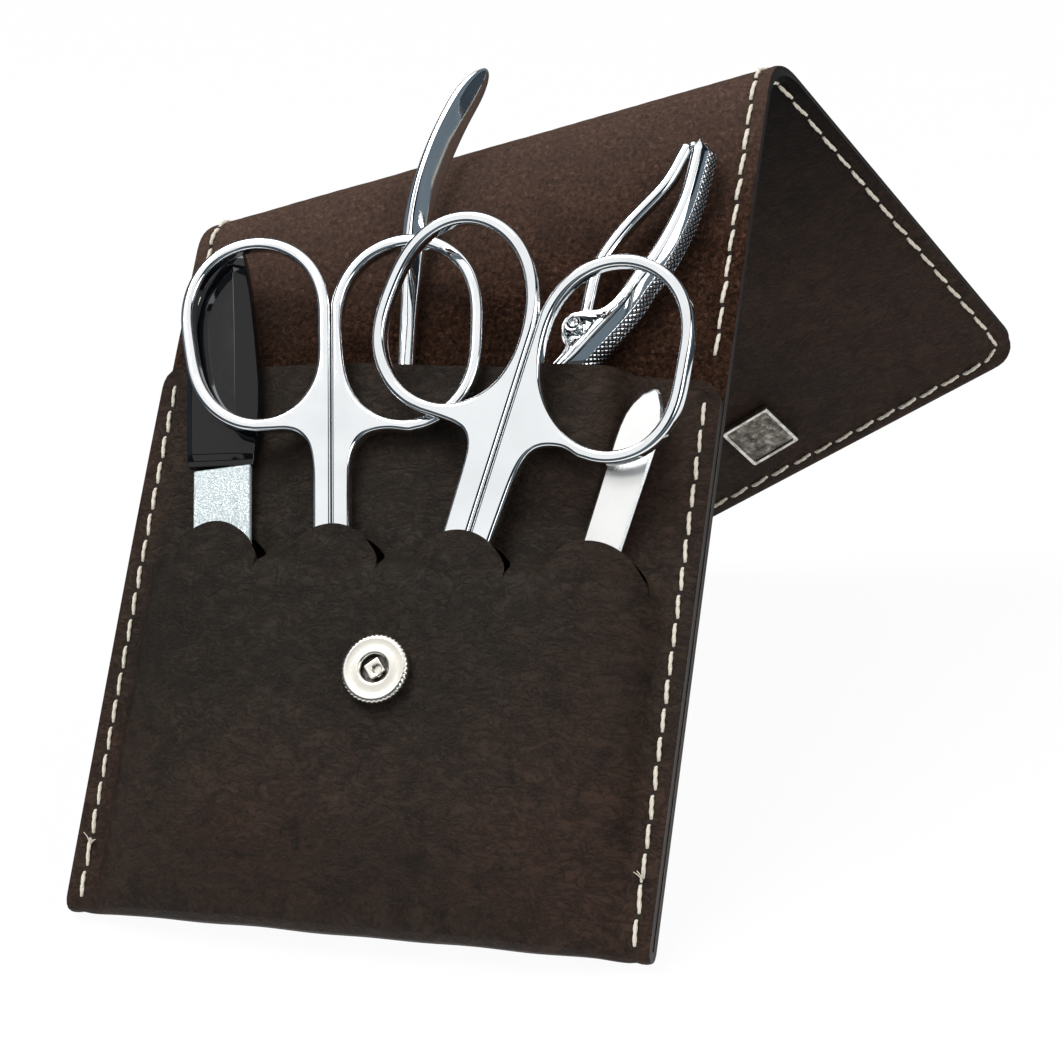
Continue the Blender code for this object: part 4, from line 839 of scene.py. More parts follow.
def grit():
    mat, tree, shader = new_material("file_grit")
    vec = object_coords(tree)
    grains = voronoi(tree, vec, 6.0, "F1", "Color")
    split = add(tree, "ShaderNodeSeparateColor")
    tree.links.new(grains, split.inputs["Color"])
    tree.links.new(ramp(tree, split.outputs["Red"], [(0.0, (0.34, 0.39, 0.40)), (0.6, (0.52, 0.58, 0.59)), (0.93, (0.66, 0.71, 0.71)), (1.0, (0.92, 0.95, 0.95))]), shader.inputs["Base Color"])
    shader.inputs["Metallic"].default_value = 0.55
    tree.links.new(grey(tree, split.outputs["Green"], 0.28, 0.75), shader.inputs["Roughness"])
    bump(tree, shader, [(voronoi(tree, vec, 6.0), 0.7, 0.06)])
    return mat


def antique():
    mat, tree, shader = new_material("dark_nickel")
    vec = object_coords(tree)
    patina = noise(tree, vec, 0.8, 5.0, 0.65)
    tree.links.new(ramp(tree, patina, [(0.35, (0.045, 0.042, 0.038)), (0.55, (0.16, 0.15, 0.13)), (0.72, (0.40, 0.38, 0.34))]), shader.inputs["Base Color"])
    shader.inputs["Metallic"].default_value = 1.0
    tree.links.new(grey(tree, patina, 0.5, 0.28), shader.inputs["Roughness"])
    bump(tree, shader, [(noise(tree, vec, 2.2, 4.0), 0.35, 0.06)])
    return mat


def thread():
    mat, tree, shader = new_material("waxed_thread")
    vec = object_coords(tree)
    fibre = noise(tree, vec, 5.0, 4.0, 0.7)
    tree.links.new(ramp(tree, fibre, [(0.3, (0.50, 0.43, 0.32)), (0.5, (0.72, 0.66, 0.54)), (0.7, (0.84, 0.80, 0.70))]), shader.inputs["Base Color"])
    shader.inputs["Roughness"].default_value = 0.75
    shader.inputs["Sheen Weight"].default_value = 0.15
    bump(tree, shader, [(fibre, 0.6, 0.05)])
    return mat


def painted_hole_shade():
    # Painted shade: near-black discs stand in for the darkness inside the needle holes.
    mat, tree, shader = new_material("painted_hole_shade")
    vec = object_coords(tree)
    tree.links.new(ramp(tree, noise(tree, vec, 3.0), [(0.3, (0.004, 0.003, 0.002)), (0.7, (0.012, 0.008, 0.006))]), shader.inputs["Base Color"])
    shader.inputs["Roughness"].default_value = 0.9
    return mat


# Stitching

def tube_points(path, side, up, radius, twist, steps=8):
    """Rings of a two-ply thread that follows the path."""
    rings = []
    count = len(path)
    for i, spot in enumerate(path):
        end = min(i, count - 1 - i)
        slim = (0.7, 0.92, 1.0)[min(end, 2)]
        ring = []
        for k in range(steps):
            a = 2 * math.pi * k / steps
            r = radius * slim * (1 + 0.2 * math.cos(2 * (a - twist * i)))
            ring.append(spot + side * (r * math.cos(a)) + up * (r * math.sin(a)))
        rings.append(ring)
    return rings


def stitch_rows():
    """Every stitch as (face, u0, s0, u1, s1): which face and its two holes."""
    rows = []
    tail = FLAP_EDGE_RUN - STITCH_INSET
    mouth_back = FRONT_RUN + FOLD_RUN + POCKET_HEIGHT - FOLD_LINE
    for u, sign in ((STITCH_INSET, 1), (CASE_WIDTH - STITCH_INSET, -1)):
        first = 3.4
        count = int((FRONT_RUN - 1.2 - first) / STITCH_PITCH)
        for k in range(count + 1):
            s = first + k * STITCH_PITCH
            rows.append((1, u, s, u, s + STITCH_LENGTH))
        corner = FLAP_CORNER_RADIUS - STITCH_INSET
        line = [(u, FRONT_RUN + FOLD_RUN + 3.0), (u, tail - corner)]
        for k in range(1, 7):
            a = math.pi / 2 * k / 6
            line.append((u + sign * corner * (1 - math.cos(a)), tail - corner + corner * math.sin(a)))
        line.append((CASE_WIDTH / 2, tail))
        line = np.array(line)
        steps = np.linalg.norm(np.diff(line, axis=0), axis=1)
        at = np.concatenate([[0], np.cumsum(steps)])
        count = int(at[-1] / STITCH_PITCH)
        pitch = at[-1] / count
        for k in range(count):
            ends = [np.array([np.interp(q, at, line[:, i]) for i in range(2)]) for q in (k * pitch, k * pitch + STITCH_LENGTH)]
            (u0, s0), (u1, s1) = ends
            rows.append((1, u0, s0, u1, s1))
            if s0 > mouth_back + 1.0:
                rows.append((-1, u0, s0, u1, s1))
    return rows


STITCH_LENGTH = 3.95
THREAD_RADIUS = 0.29


def build_stitches():
    rows = stitch_rows()
    rng = np.random.default_rng(7)
    count = 13
    share = np.linspace(0, 1, count)
    u, s, face, slant = [], [], [], []
    for side, u0, s0, u1, s1 in rows:
        ahead = np.array([u1 - u0, s1 - s0]) / max(math.hypot(u1 - u0, s1 - s0), 1e-6)
        out = np.array([-ahead[1], ahead[0]])
        lean = 0.16 + rng.uniform(-0.07, 0.07)
        for t in share:
            spot = np.array([u0, s0]) + (np.array([u1, s1]) - np.array([u0, s0])) * t + out * lean * (0.5 - t) * 2
            u.append(spot[0])
            s.append(spot[1])
            face.append(side)
    u, s, face = np.array(u), np.array(s), np.array(face)
    middle, normal = strip_frame(u, s)
    normal = normal * face[:, None]
    verts, faces, slots = [], [], []
    for k in range(len(rows)):
        pick = slice(k * count, (k + 1) * count)
        arch = np.sin(math.pi * share) ** 0.4
        radius = THREAD_RADIUS * rng.uniform(0.92, 1.1)
        lift = HALF - 0.45 + arch * (0.45 + radius * rng.uniform(0.3, 0.55))
        path = middle[pick] + normal[pick] * lift[:, None]
        up = normal[pick][count // 2]
        ahead = path[-1] - path[0]
        ahead /= np.linalg.norm(ahead)
        side = np.cross(up, ahead)
        rings = tube_points(path, side, up, radius, 0.75)
        base = len(verts)
        for ring in rings:
            verts += ring
        steps = len(rings[0])
        for i in range(count - 1):
            for j in range(steps):
                a, b = base + i * steps + j, base + i * steps + (j + 1) % steps
                faces.append((a, b, b + steps, a + steps))
                slots.append(0)
        faces.append(tuple(base + j for j in reversed(range(steps))))
        faces.append(tuple(base + (count - 1) * steps + j for j in range(steps)))
        slots += [0, 0]
        # Painted shade: a dark disc at each end of the stitch, where the thread enters its needle hole.
        for end in (0, count - 1):
            spot = middle[pick][end] + normal[pick][end] * (HALF - 0.13)
            spot = spot + ahead * (0.12 if end == 0 else -0.12)
            base = len(verts)
            for j in range(10):
                a = 2 * math.pi * j / 10
                verts.append(spot + side * (0.44 * math.cos(a)) + ahead * (0.42 * math.sin(a)))
            verts.append(spot + up * 0.06)
            for j in range(10):
                faces.append((base + j, base + (j + 1) % 10, base + 10))
                slots.append(1)
    for side_u, sign, at_s in ((STITCH_INSET, 1, FRONT_RUN - 7.0), (CASE_WIDTH - STITCH_INSET, -1, FRONT_RUN - 8.4)):
        for k in range(7):
            reach = rng.uniform(0.6, 1.5)
            turn = sign * rng.uniform(-0.2, 1.3) - math.pi / 2
            bend_by = rng.uniform(-0.9, 0.9)
            t = np.linspace(0, 1, 7)
            uu = side_u + rng.uniform(-0.15, 0.15) + reach * (t * math.cos(turn) + bend_by * t * t)
            ss = at_s + rng.uniform(-0.5, 0.5) + reach * t * math.sin(turn)
            middle_k, normal_k = strip_frame(uu, ss)
            path = middle_k + normal_k * (HALF + 0.12 + rng.uniform(0.3, 0.9) * t)[:, None]
            ahead = path[-1] - path[0]
            ahead /= np.linalg.norm(ahead)
            up = normal_k[3]
            side = np.cross(up, ahead)
            rings = tube_points(path, side, up, 0.1, 0.3, 5)
            base = len(verts)
            for ring in rings:
                verts += ring
            for i in range(len(path) - 1):
                for j in range(5):
                    a, b = base + i * 5 + j, base + i * 5 + (j + 1) % 5
                    faces.append((a, b, b + 5, a + 5))
                    slots.append(0)
    mesh = bpy.data.meshes.new("stitching")
    mesh.from_pydata([tuple(p) for p in to_world(verts)], [], faces)
    mesh.materials.append(thread())
    mesh.materials.append(painted_hole_shade())
    mesh.polygons.foreach_set("material_index", slots)
    mesh.shade_smooth()
    obj = bpy.data.objects.new("stitching", mesh)
    bpy.context.scene.collection.objects.link(obj)
    return obj


stitching = build_stitches()
blend_to_flap(stitching)


# Scissors: ring holes and outer lines as drawn at the front face

NAIL_LEFT_HOLE = [(-11.85, 60.24), (-6.01, 58.40), (-3.53, 55.67), (-1.88, 50.36), (-1.56, 43.60), (-1.90, 38.65), (-3.53, 35.21), (-6.79, 32.97), (-10.88, 31.66), (-15.00, 32.99), (-18.67, 36.61), (-21.04, 40.76), (-22.10, 46.29), (-21.85, 53.06), (-20.22, 57.63), (-16.88, 60.08)]
NAIL_RIGHT_HOLE = [(12.08, 57.40), (7.99, 56.79), (5.19, 54.81), (3.05, 51.38), (2.37, 46.43), (2.35, 41.43), (2.98, 37.20), (5.06, 33.14), (8.26, 30.28), (11.78, 29.20), (16.23, 28.9), (19.79, 32.28), (22.40, 36.36), (23.14, 42.02), (22.62, 48.73), (20.93, 53.47), (18.55, 55.99)]
CUTICLE_LEFT_HOLE = [(-15.80, 59.60), (-19.11, 57.71), (-22.03, 53.63), (-23.21, 48.48), (-23.32, 42.78), (-22.08, 38.22), (-19.83, 34.73), (-16.52, 32.64), (-12.80, 31.80), (-9.19, 32.22), (-6.10, 33.62), (-3.32, 36.37), (-1.77, 40.73), (-1.39, 45.60), (-2.10, 50.22), (-4.63, 55.23), (-8.24, 58.41), (-12.10, 59.79)]
CUTICLE_RIGHT_HOLE = [(10.38, 58.71), (6.63, 56.56), (3.76, 52.71), (2.56, 47.82), (2.70, 43.40), (4.17, 39.01), (6.71, 34.90), (9.76, 32.20), (13.33, 31.37), (17.34, 31.61), (21.66, 33.32), (23.75, 36.81), (24.29, 41.61), (23.67, 48.48), (22.79, 52.17), (20.17, 56.26), (16.70, 58.44)]
RING_BAND = 2.0
SCISSOR_DEPTH = 2.6
LAP_RADIUS = 6.0
PIVOT_GAP = 0.15




def circle(radius, count=40, center=(0.0, 0.0)):
    a = np.linspace(0, 2 * math.pi, count, endpoint=False)
    return np.stack([center[0] + radius * np.cos(a), center[1] + radius * np.sin(a)], 1)


def scissor_half(name, node, body, frame, hole_knots, side, seam_x, fillet, shank, blade):
    """One half: ring, shank, lap and blade. side is -1 left, 1 right."""
    flip = np.array([-side, 1.0])
    hole = fitted_ring(np.array(hole_knots) * flip)
    ring = grown(hole, RING_BAND)
    seam = -side * seam_x
    start = next(i for i in range(len(ring) // 2) if ring[i][0] < seam and ring[i][1] > 46)
    middle = hole.mean(axis=0)[0]
    stop = next(i for i in range(len(ring) - 1, 0, -1) if ring[i][0] < middle + 0.8)
    around = [tuple(p) for p in ring[start:stop + 1]]
    tail = [(-x * side, y) for x, y in fillet]
    turned = spline(around[-3:] + tail, closed=False, parts=7)
    outline = around[:-3] + [tuple(p) for p in turned[7:]]
    edge = outline[-1][0]
    clear = LAP_RADIUS + 0.3
    arc = []
    a0, a1 = math.acos(edge / clear), math.acos(seam / clear)
    for k in range(9):
        a = a0 + (a1 - a0) * k / 8
        arc.append((clear * math.cos(a), clear * math.sin(a)))
    outline += [(edge, arc[0][1] + 0.8)] + arc
    outline += [(seam, y) for y in np.linspace(arc[-1][1] + 0.8, ring[start][1] - 0.6, 12)]
    ring_part = plate(name, [outline, hole[::-1]], -SCISSOR_DEPTH / 2, SCISSOR_DEPTH / 2, 0.72, 5)
    long, half = 27.0, blade
    wide = 3.4
    blade_line = [
        (edge + 0.5, 10.0), (seam - 0.5, 10.0), (seam - 0.4, LAP_RADIUS), (wide * 0.55, LAP_RADIUS * 0.8),
        (wide, LAP_RADIUS * 0.3), (wide, -LAP_RADIUS * 0.5), (half, -LAP_RADIUS * 1.3), (half * 0.92, -long * 0.6),
        (half * 0.3, -long), (0.0, -long * 1.01), (-half * 0.15, -long * 0.97), (-half * 0.5, -long * 0.55),
        (-half * 0.8, -LAP_RADIUS * 1.2), (-wide * 0.8, -LAP_RADIUS * 0.6), (-wide, 0.0), (-wide * 0.9, LAP_RADIUS * 0.72),
    ]
    lap = plate(name, [blade_line[::-1], circle(1.62)], -SCISSOR_DEPTH / 2 + 0.02, -PIVOT_GAP, 0.2, 2)
    turn = Matrix.Identity(4) if side < 0 else Matrix.Rotation(math.pi, 4, "Y")
    piece = join(name, [ring_part, lap], frame @ turn)
    piece.data.materials.append(CHROME)
    even(piece)
    carry(piece, body, "polished_steel", node)
    return piece


NAIL_LEFT_FILLET = [(-9.2, 29.75), (-6.6, 29.5), (-4.6, 28.6), (-3.1, 26.5), (-2.5, 23.2), (-2.4, 18.5), (-2.4, 13.0), (-2.4, 8.0)]
NAIL_RIGHT_FILLET = [(10.2, 27.5), (8.0, 27.6), (5.9, 27.1), (4.3, 25.4), (3.55, 22.4), (3.4, 18.0), (3.4, 13.0), (3.4, 8.0)]
CUTICLE_LEFT_FILLET = [(-9.6, 29.6), (-7.0, 29.3), (-5.2, 28.5), (-4.1, 26.6), (-3.8, 23.6), (-3.7, 19.0), (-3.6, 13.5), (-3.5, 8.0)]
CUTICLE_RIGHT_FILLET = [(10.9, 29.9), (8.4, 29.6), (6.5, 28.6), (5.3, 26.6), (4.75, 23.4), (4.5, 18.5), (4.3, 13.5), (4.1, 8.0)]

scissor_half("nail_scissors_left", "nail_scissors_left_half", "nail_scissors", FRAMES["nail"], NAIL_LEFT_HOLE, -1, 0.42, NAIL_LEFT_FILLET, 2.8, 2.9)
scissor_half("nail_scissors_right", "nail_scissors_right_half", "nail_scissors_turning", FRAMES["nail"], NAIL_RIGHT_HOLE, 1, 0.56, NAIL_RIGHT_FILLET, 2.8, 2.9)
scissor_half("cuticle_scissors_left", "cuticle_scissors_left_half", "cuticle_scissors", FRAMES["cuticle"], CUTICLE_LEFT_HOLE, -1, 0.56, CUTICLE_LEFT_FILLET, 4.1, 2.2)
scissor_half("cuticle_scissors_right", "cuticle_scissors_right_half", "cuticle_scissors_turning", FRAMES["cuticle"], CUTICLE_RIGHT_HOLE, 1, 0.70, CUTICLE_RIGHT_FILLET, 4.1, 2.2)


# Press stud

def build_stud():
    teeth, count = 44, 264
    rows = [(1.6, 0.3), (4.7, 0.3), (5.15, 0.42), (5.3, 0.8), (5.3, 1.35), (5.12, 1.66), (4.72, 1.84), (4.45, 1.86), (4.3, 1.80)]
    rows += [(3.2, 1.86), (2.75, 1.93), (2.5, 1.95), (2.28, 1.88), (2.15, 1.68), (2.1, 1.1), (2.1, 0.62), (1.6, 0.6)]
    disc = lathe(rows, count, teeth, 0.16, (3, 4, 5))
    piece = join("stud_face", [disc], FRAMES["stud"], 50)
    piece.data.materials.append(NICKEL)
    piece.data.materials.append(antique())
    middle = FRAMES["stud"].translation
    up = FRAMES["stud"].to_3x3() @ Vector((0, 0, 1))
    for face in piece.data.polygons:
        off = face.center - middle
        depth = off.dot(up)
        if depth < 1.7 * MM and (off - up * depth).length < 2.3 * MM:
            face.material_index = 1
    carry(piece, "case", "bright_nickel", "stud_disc")
    half = 1.3
    corner = 0.3
    line = []
    for i, (cx, cy) in enumerate(((1, 1), (-1, 1), (-1, -1), (1, -1))):
        for k in range(5):
            a = math.pi / 2 * (i + k / 4)
            line.append(((half - corner) * cx + corner * math.cos(a), (half - corner) * cy + corner * math.sin(a)))
    square = plate("stud_square", [line, circle(0.72, 32, (0.25, -0.3))], 1.1, 1.62, 0.18, 3)
    turn = Matrix.Rotation(math.radians(38), 4, "Z")
    piece = join("stud_square", [square], FRAMES["stud"] @ turn)
    piece.data.materials.append(NICKEL)
    even(piece)
    carry(piece, "case", "bright_nickel", "stud_insert")


build_stud()


def build_cap():
    """Square cap: bright border raised round an antiqued field, left bare."""
    def square(half, corner):
        line = []
        for i, (cx, cy) in enumerate(((1, 1), (-1, 1), (-1, -1), (1, -1))):
            for k in range(5):
                a = math.pi / 2 * (i + k / 4)
                line.append(((half - corner) * cx + corner * math.cos(a), (half - corner) * cy + corner * math.sin(a)))
        return line
    turn = Matrix.Rotation(math.radians(3.0), 4, "Z")
    border = plate("cap_border", [square(4.9, 0.5), square(4.2, 0.3)], 0.3, 1.6, 0.22, 3)
    edge = join("cap_border", [border], FRAMES["cap"] @ turn)
    edge.data.materials.append(worn_nickel())
    even(edge)
    field = plate("cap_field", [square(4.35, 0.3)], 0.32, 1.25, 0.1, 2)
    middle = join("cap_field", [field], FRAMES["cap"] @ turn)
    middle.data.materials.append(antique())
    even(middle)
    carry(edge, "flap", "dark_nickel", "flap_cap")
    carry(middle, "flap", "dark_nickel")


def worn_nickel():
    mat, tree, shader = new_material("worn_nickel")
    vec = object_coords(tree)
    wear = noise(tree, vec, 0.9, 5.0, 0.65)
    tree.links.new(ramp(tree, wear, [(0.35, (0.30, 0.28, 0.25)), (0.6, (0.72, 0.70, 0.65))]), shader.inputs["Base Color"])
    shader.inputs["Metallic"].default_value = 1.0
    tree.links.new(grey(tree, wear, 0.4, 0.2), shader.inputs["Roughness"])
    bump(tree, shader, [(noise(tree, vec, 1.4, 3.0), 0.2, 0.05)])
    return mat


build_cap()


# Cuticle pusher: round stem that flattens, turns and bows into a leaf blade

def sweep(name, stations, frame, count=32):
    """Loft superellipse sections: each (x, y, z, width, depth, turn, power)."""
    bm = bmesh.new()
    loops = []
    for x, y, z, width, depth, turn, power in stations:
        loop = []
        for k in range(count):
            a = 2 * math.pi * k / count
            c, s = math.cos(a), math.sin(a)
            grow = (abs(c) ** power + abs(s) ** power) ** (-1 / power)
            px, pz = width / 2 * c * grow, depth / 2 * s * grow
            qx = px * math.cos(turn) - pz * math.sin(turn)
            qz = px * math.sin(turn) + pz * math.cos(turn)
            loop.append(bm.verts.new(((x + qx) * MM, y * MM, (z + qz) * MM)))
        loops.append(loop)
    for low, high in zip(loops, loops[1:]):
        for k in range(count):
            j = (k + 1) % count
            bm.faces.new([low[k], low[j], high[j], high[k]])
    bm.faces.new(loops[0][::-1])
    bm.faces.new(loops[-1])
    bmesh.ops.recalc_face_normals(bm, faces=bm.faces)
    mesh = bpy.data.meshes.new(name)
    bm.to_mesh(mesh)
    bm.free()
    return join(name, [mesh], frame, 60)


def build_pusher():
    knots = {
        "y": [0.0, 2.0, 44.0, 54.0, 60.0, 66.0, 72.0, 80.0, 86.0],
        "width": [1.2, 2.9, 2.9, 3.0, 3.6, 4.6, 5.2, 5.5, 5.4],
        "depth": [1.0, 2.5, 2.5, 2.4, 2.2, 1.9, 1.6, 1.3, 1.15],
        "turn": [0.0, 0.0, 0.25, 0.62, 0.85, 0.98, 1.03, 1.03, 1.0],
    }
    stations = []
    for y in np.concatenate([np.linspace(0, 2, 5), np.linspace(3, 86, 100), np.linspace(86.4, 91.95, 28)]):
        width, depth, turn = (float(np.interp(y, knots["y"], knots[k])) for k in ("width", "depth", "turn"))
        bowed = max(0.0, y / 92 - 0.52) / 0.48
        if y > 86:
            width = 5.4 * math.sqrt(max(0.004, 1 - ((y - 86) / 6) ** 2))
            depth *= 0.55 + 0.45 * math.sqrt(max(0.0, 1 - ((y - 86) / 6) ** 2))
        square = 2.0 + 2.2 * min(max((y - 50) / 14, 0), 1)
        stations.append((11 * bowed ** 2.6, y, 1.7 * float(smooth(0, 0.5, bowed)), width, depth, -turn, square))
    piece = sweep("pusher", stations, FRAMES["pusher"], 44)
    piece.data.materials.append(CHROME)
    carry(piece, "pusher", "polished_steel", "cuticle_pusher")


build_pusher()


def build_handle():
    """Black moulded handle: a ridge off the middle and bevelled borders."""
    rows = [
        (0.0, -5.25, 5.6, 2.6), (0.9, -5.4, 5.7, 2.6), (1.7, -5.55, 5.75, 2.55), (5.4, -6.0, 5.9, 2.5), (9.0, -6.4, 5.75, 2.4),
        (13.1, -6.75, 5.4, 1.9), (17.0, -6.95, 4.75, 1.5), (20.5, -7.0, 4.1, 1.1), (24.0, -6.85, 3.4, 0.7),
        (27.0, -6.45, 2.8, 0.3), (29.5, -5.75, 2.25, 0.0), (31.8, -4.6, 1.7, -0.3), (33.6, -3.3, 1.2, -0.6), (35.2, -1.6, 0.75, -0.5), (36.3, -0.3, 0.35, -0.05),
    ]
    bm = bmesh.new()
    loops = []
    for y, left, right, ridge in rows:
        flat = 1.0 if 1.5 < y < 34 else 0.0
        width = right - left
        rim = min(1.2, width * 0.22)
        low = 0.45 if flat else 0.2
        high = 1.3 if flat else 0.25
        crest = 1.62 - 0.4 * max(0.0, 1 - y / 8.9) if flat else 0.3
        facet = min(2.2, width * 0.2) if y > 6 else min(0.5 + y * 0.25, 2.0)
        ridge = min(ridge, right - facet)
        shape = [(left, -1.2), (left, low), (left + rim, high), (ridge, crest), (right - 0.12, low + 0.1), (right, low - 0.1), (right, -1.2)]
        loops.append([bm.verts.new((x * MM, y * MM, z * MM)) for x, z in shape])
    for low, high in zip(loops, loops[1:]):
        for k in range(len(low)):
            j = (k + 1) % len(low)
            bm.faces.new([low[k], low[j], high[j], high[k]])
    bm.faces.new(loops[0][::-1])
    bm.faces.new(loops[-1])
    bmesh.ops.recalc_face_normals(bm, faces=bm.faces)
    mesh = bpy.data.meshes.new("handle")
    bm.to_mesh(mesh)
    bm.free()
    piece = join("file_grip", [mesh], FRAMES["grip"], 180)
    mod = piece.modifiers.new("round", "BEVEL")
    mod.width = 0.22 * MM
    mod.segments = 3
    mod.limit_method = "ANGLE"
    mod.angle_limit = math.radians(16)
    even(piece)
    piece.data.materials.append(gloss_black())
    carry(piece, "nail_file", "black_gloss", "file_handle")


build_handle()


def path_frames(knots, parts):
    """Even points of a smooth open line, their run along it and its direction."""
    line = spline(knots, closed=False, parts=40)
    steps = np.concatenate([[0], np.cumsum(np.linalg.norm(np.diff(line, axis=0), axis=1))])
    at = np.linspace(0, steps[-1], parts)
    spots = np.stack([np.interp(at, steps, line[:, i]) for i in range(2)], 1)
    ahead = np.gradient(spots, axis=0)
    ahead /= np.linalg.norm(ahead, axis=1)[:, None]
    return at, spots, ahead


def channel(name, knots, section_at, parts, uv=False):
    """Sweep closed (n, z) sections along a line; n points to its right."""
    at, spots, ahead = path_frames(knots, parts)
    bm = bmesh.new()
    layer = bm.loops.layers.uv.new("Run")
    loops = []
    for i, (spot, way) in enumerate(zip(spots, ahead)):
        side = np.array([way[1], -way[0]])
        shape = section_at(i / (parts - 1), at[i], at[-1])
        loops.append([bm.verts.new(((spot[0] + side[0] * n) * MM, (spot[1] + side[1] * n) * MM, z * MM)) for n, z in shape])
    shape = np.array(section_at(0.5, at[-1] / 2, at[-1]))
    around = np.concatenate([[0], np.cumsum(np.linalg.norm(np.diff(np.vstack([shape, shape[:1]]), axis=0), axis=1))])
    count = len(shape)
    for i in range(parts - 1):
        for k in range(count):
            j = (k + 1) % count
            face = bm.faces.new([loops[i][k], loops[i][j], loops[i + 1][j], loops[i + 1][k]])
            for loop, (a, b) in zip(face.loops, ((i, k), (i, k + 1), (i + 1, k + 1), (i + 1, k))):
                loop[layer].uv = (at[a] / 100, around[b] / 100)
    bm.faces.new(loops[0][::-1])
    bm.faces.new(loops[-1])
    bmesh.ops.recalc_face_normals(bm, faces=bm.faces)
    mesh = bpy.data.meshes.new(name)
    bm.to_mesh(mesh)
    bm.free()
    return mesh


def knurled_steel():
    """Polished steel with a cut diamond pattern along the outer side."""
    mat, tree, shader = new_material("knurled_steel")
    shader.inputs["Metallic"].default_value = 1.0
    uv = add(tree, "ShaderNodeUVMap", uv_map="Run")
    split = add(tree, "ShaderNodeSeparateXYZ")
    tree.links.new(uv.outputs["UV"], split.inputs["Vector"])
    run = math_node(tree, "MULTIPLY", split.outputs["X"], 100 * math.pi / 0.9)
    turn = math_node(tree, "MULTIPLY", split.outputs["Y"], 100 * math.pi / 0.9)
    one = math_node(tree, "ABSOLUTE", math_node(tree, "SINE", math_node(tree, "ADD", run, turn)), 0.0)
    two = math_node(tree, "ABSOLUTE", math_node(tree, "SINE", math_node(tree, "SUBTRACT", run, turn)), 0.0)
    teeth = math_node(tree, "MINIMUM", one, two)
    low = math_node(tree, "GREATER_THAN", split.outputs["Y"], KNURL_FROM / 100)
    high = math_node(tree, "LESS_THAN", split.outputs["Y"], KNURL_TO / 100)
    top = math_node(tree, "LESS_THAN", split.outputs["X"], KNURL_END / 100)
    mask = math_node(tree, "MULTIPLY", math_node(tree, "MULTIPLY", low, high), top)
    height = math_node(tree, "MULTIPLY", teeth, mask)
    tree.links.new(grey(tree, mask, 0.06, 0.16), shader.inputs["Roughness"])
    painted_groove_shade = math_node(tree, "MULTIPLY", mask, math_node(tree, "LESS_THAN", teeth, 0.3))
    tree.links.new(mix(tree, painted_groove_shade, (0.84, 0.87, 0.89), (0.10, 0.11, 0.13)), shader.inputs["Base Color"])
    bump(tree, shader, [(height, 0.8, 0.14)])
    return mat


KNURL_FROM = 7.6
KNURL_TO = 12.4
KNURL_END = 49.0


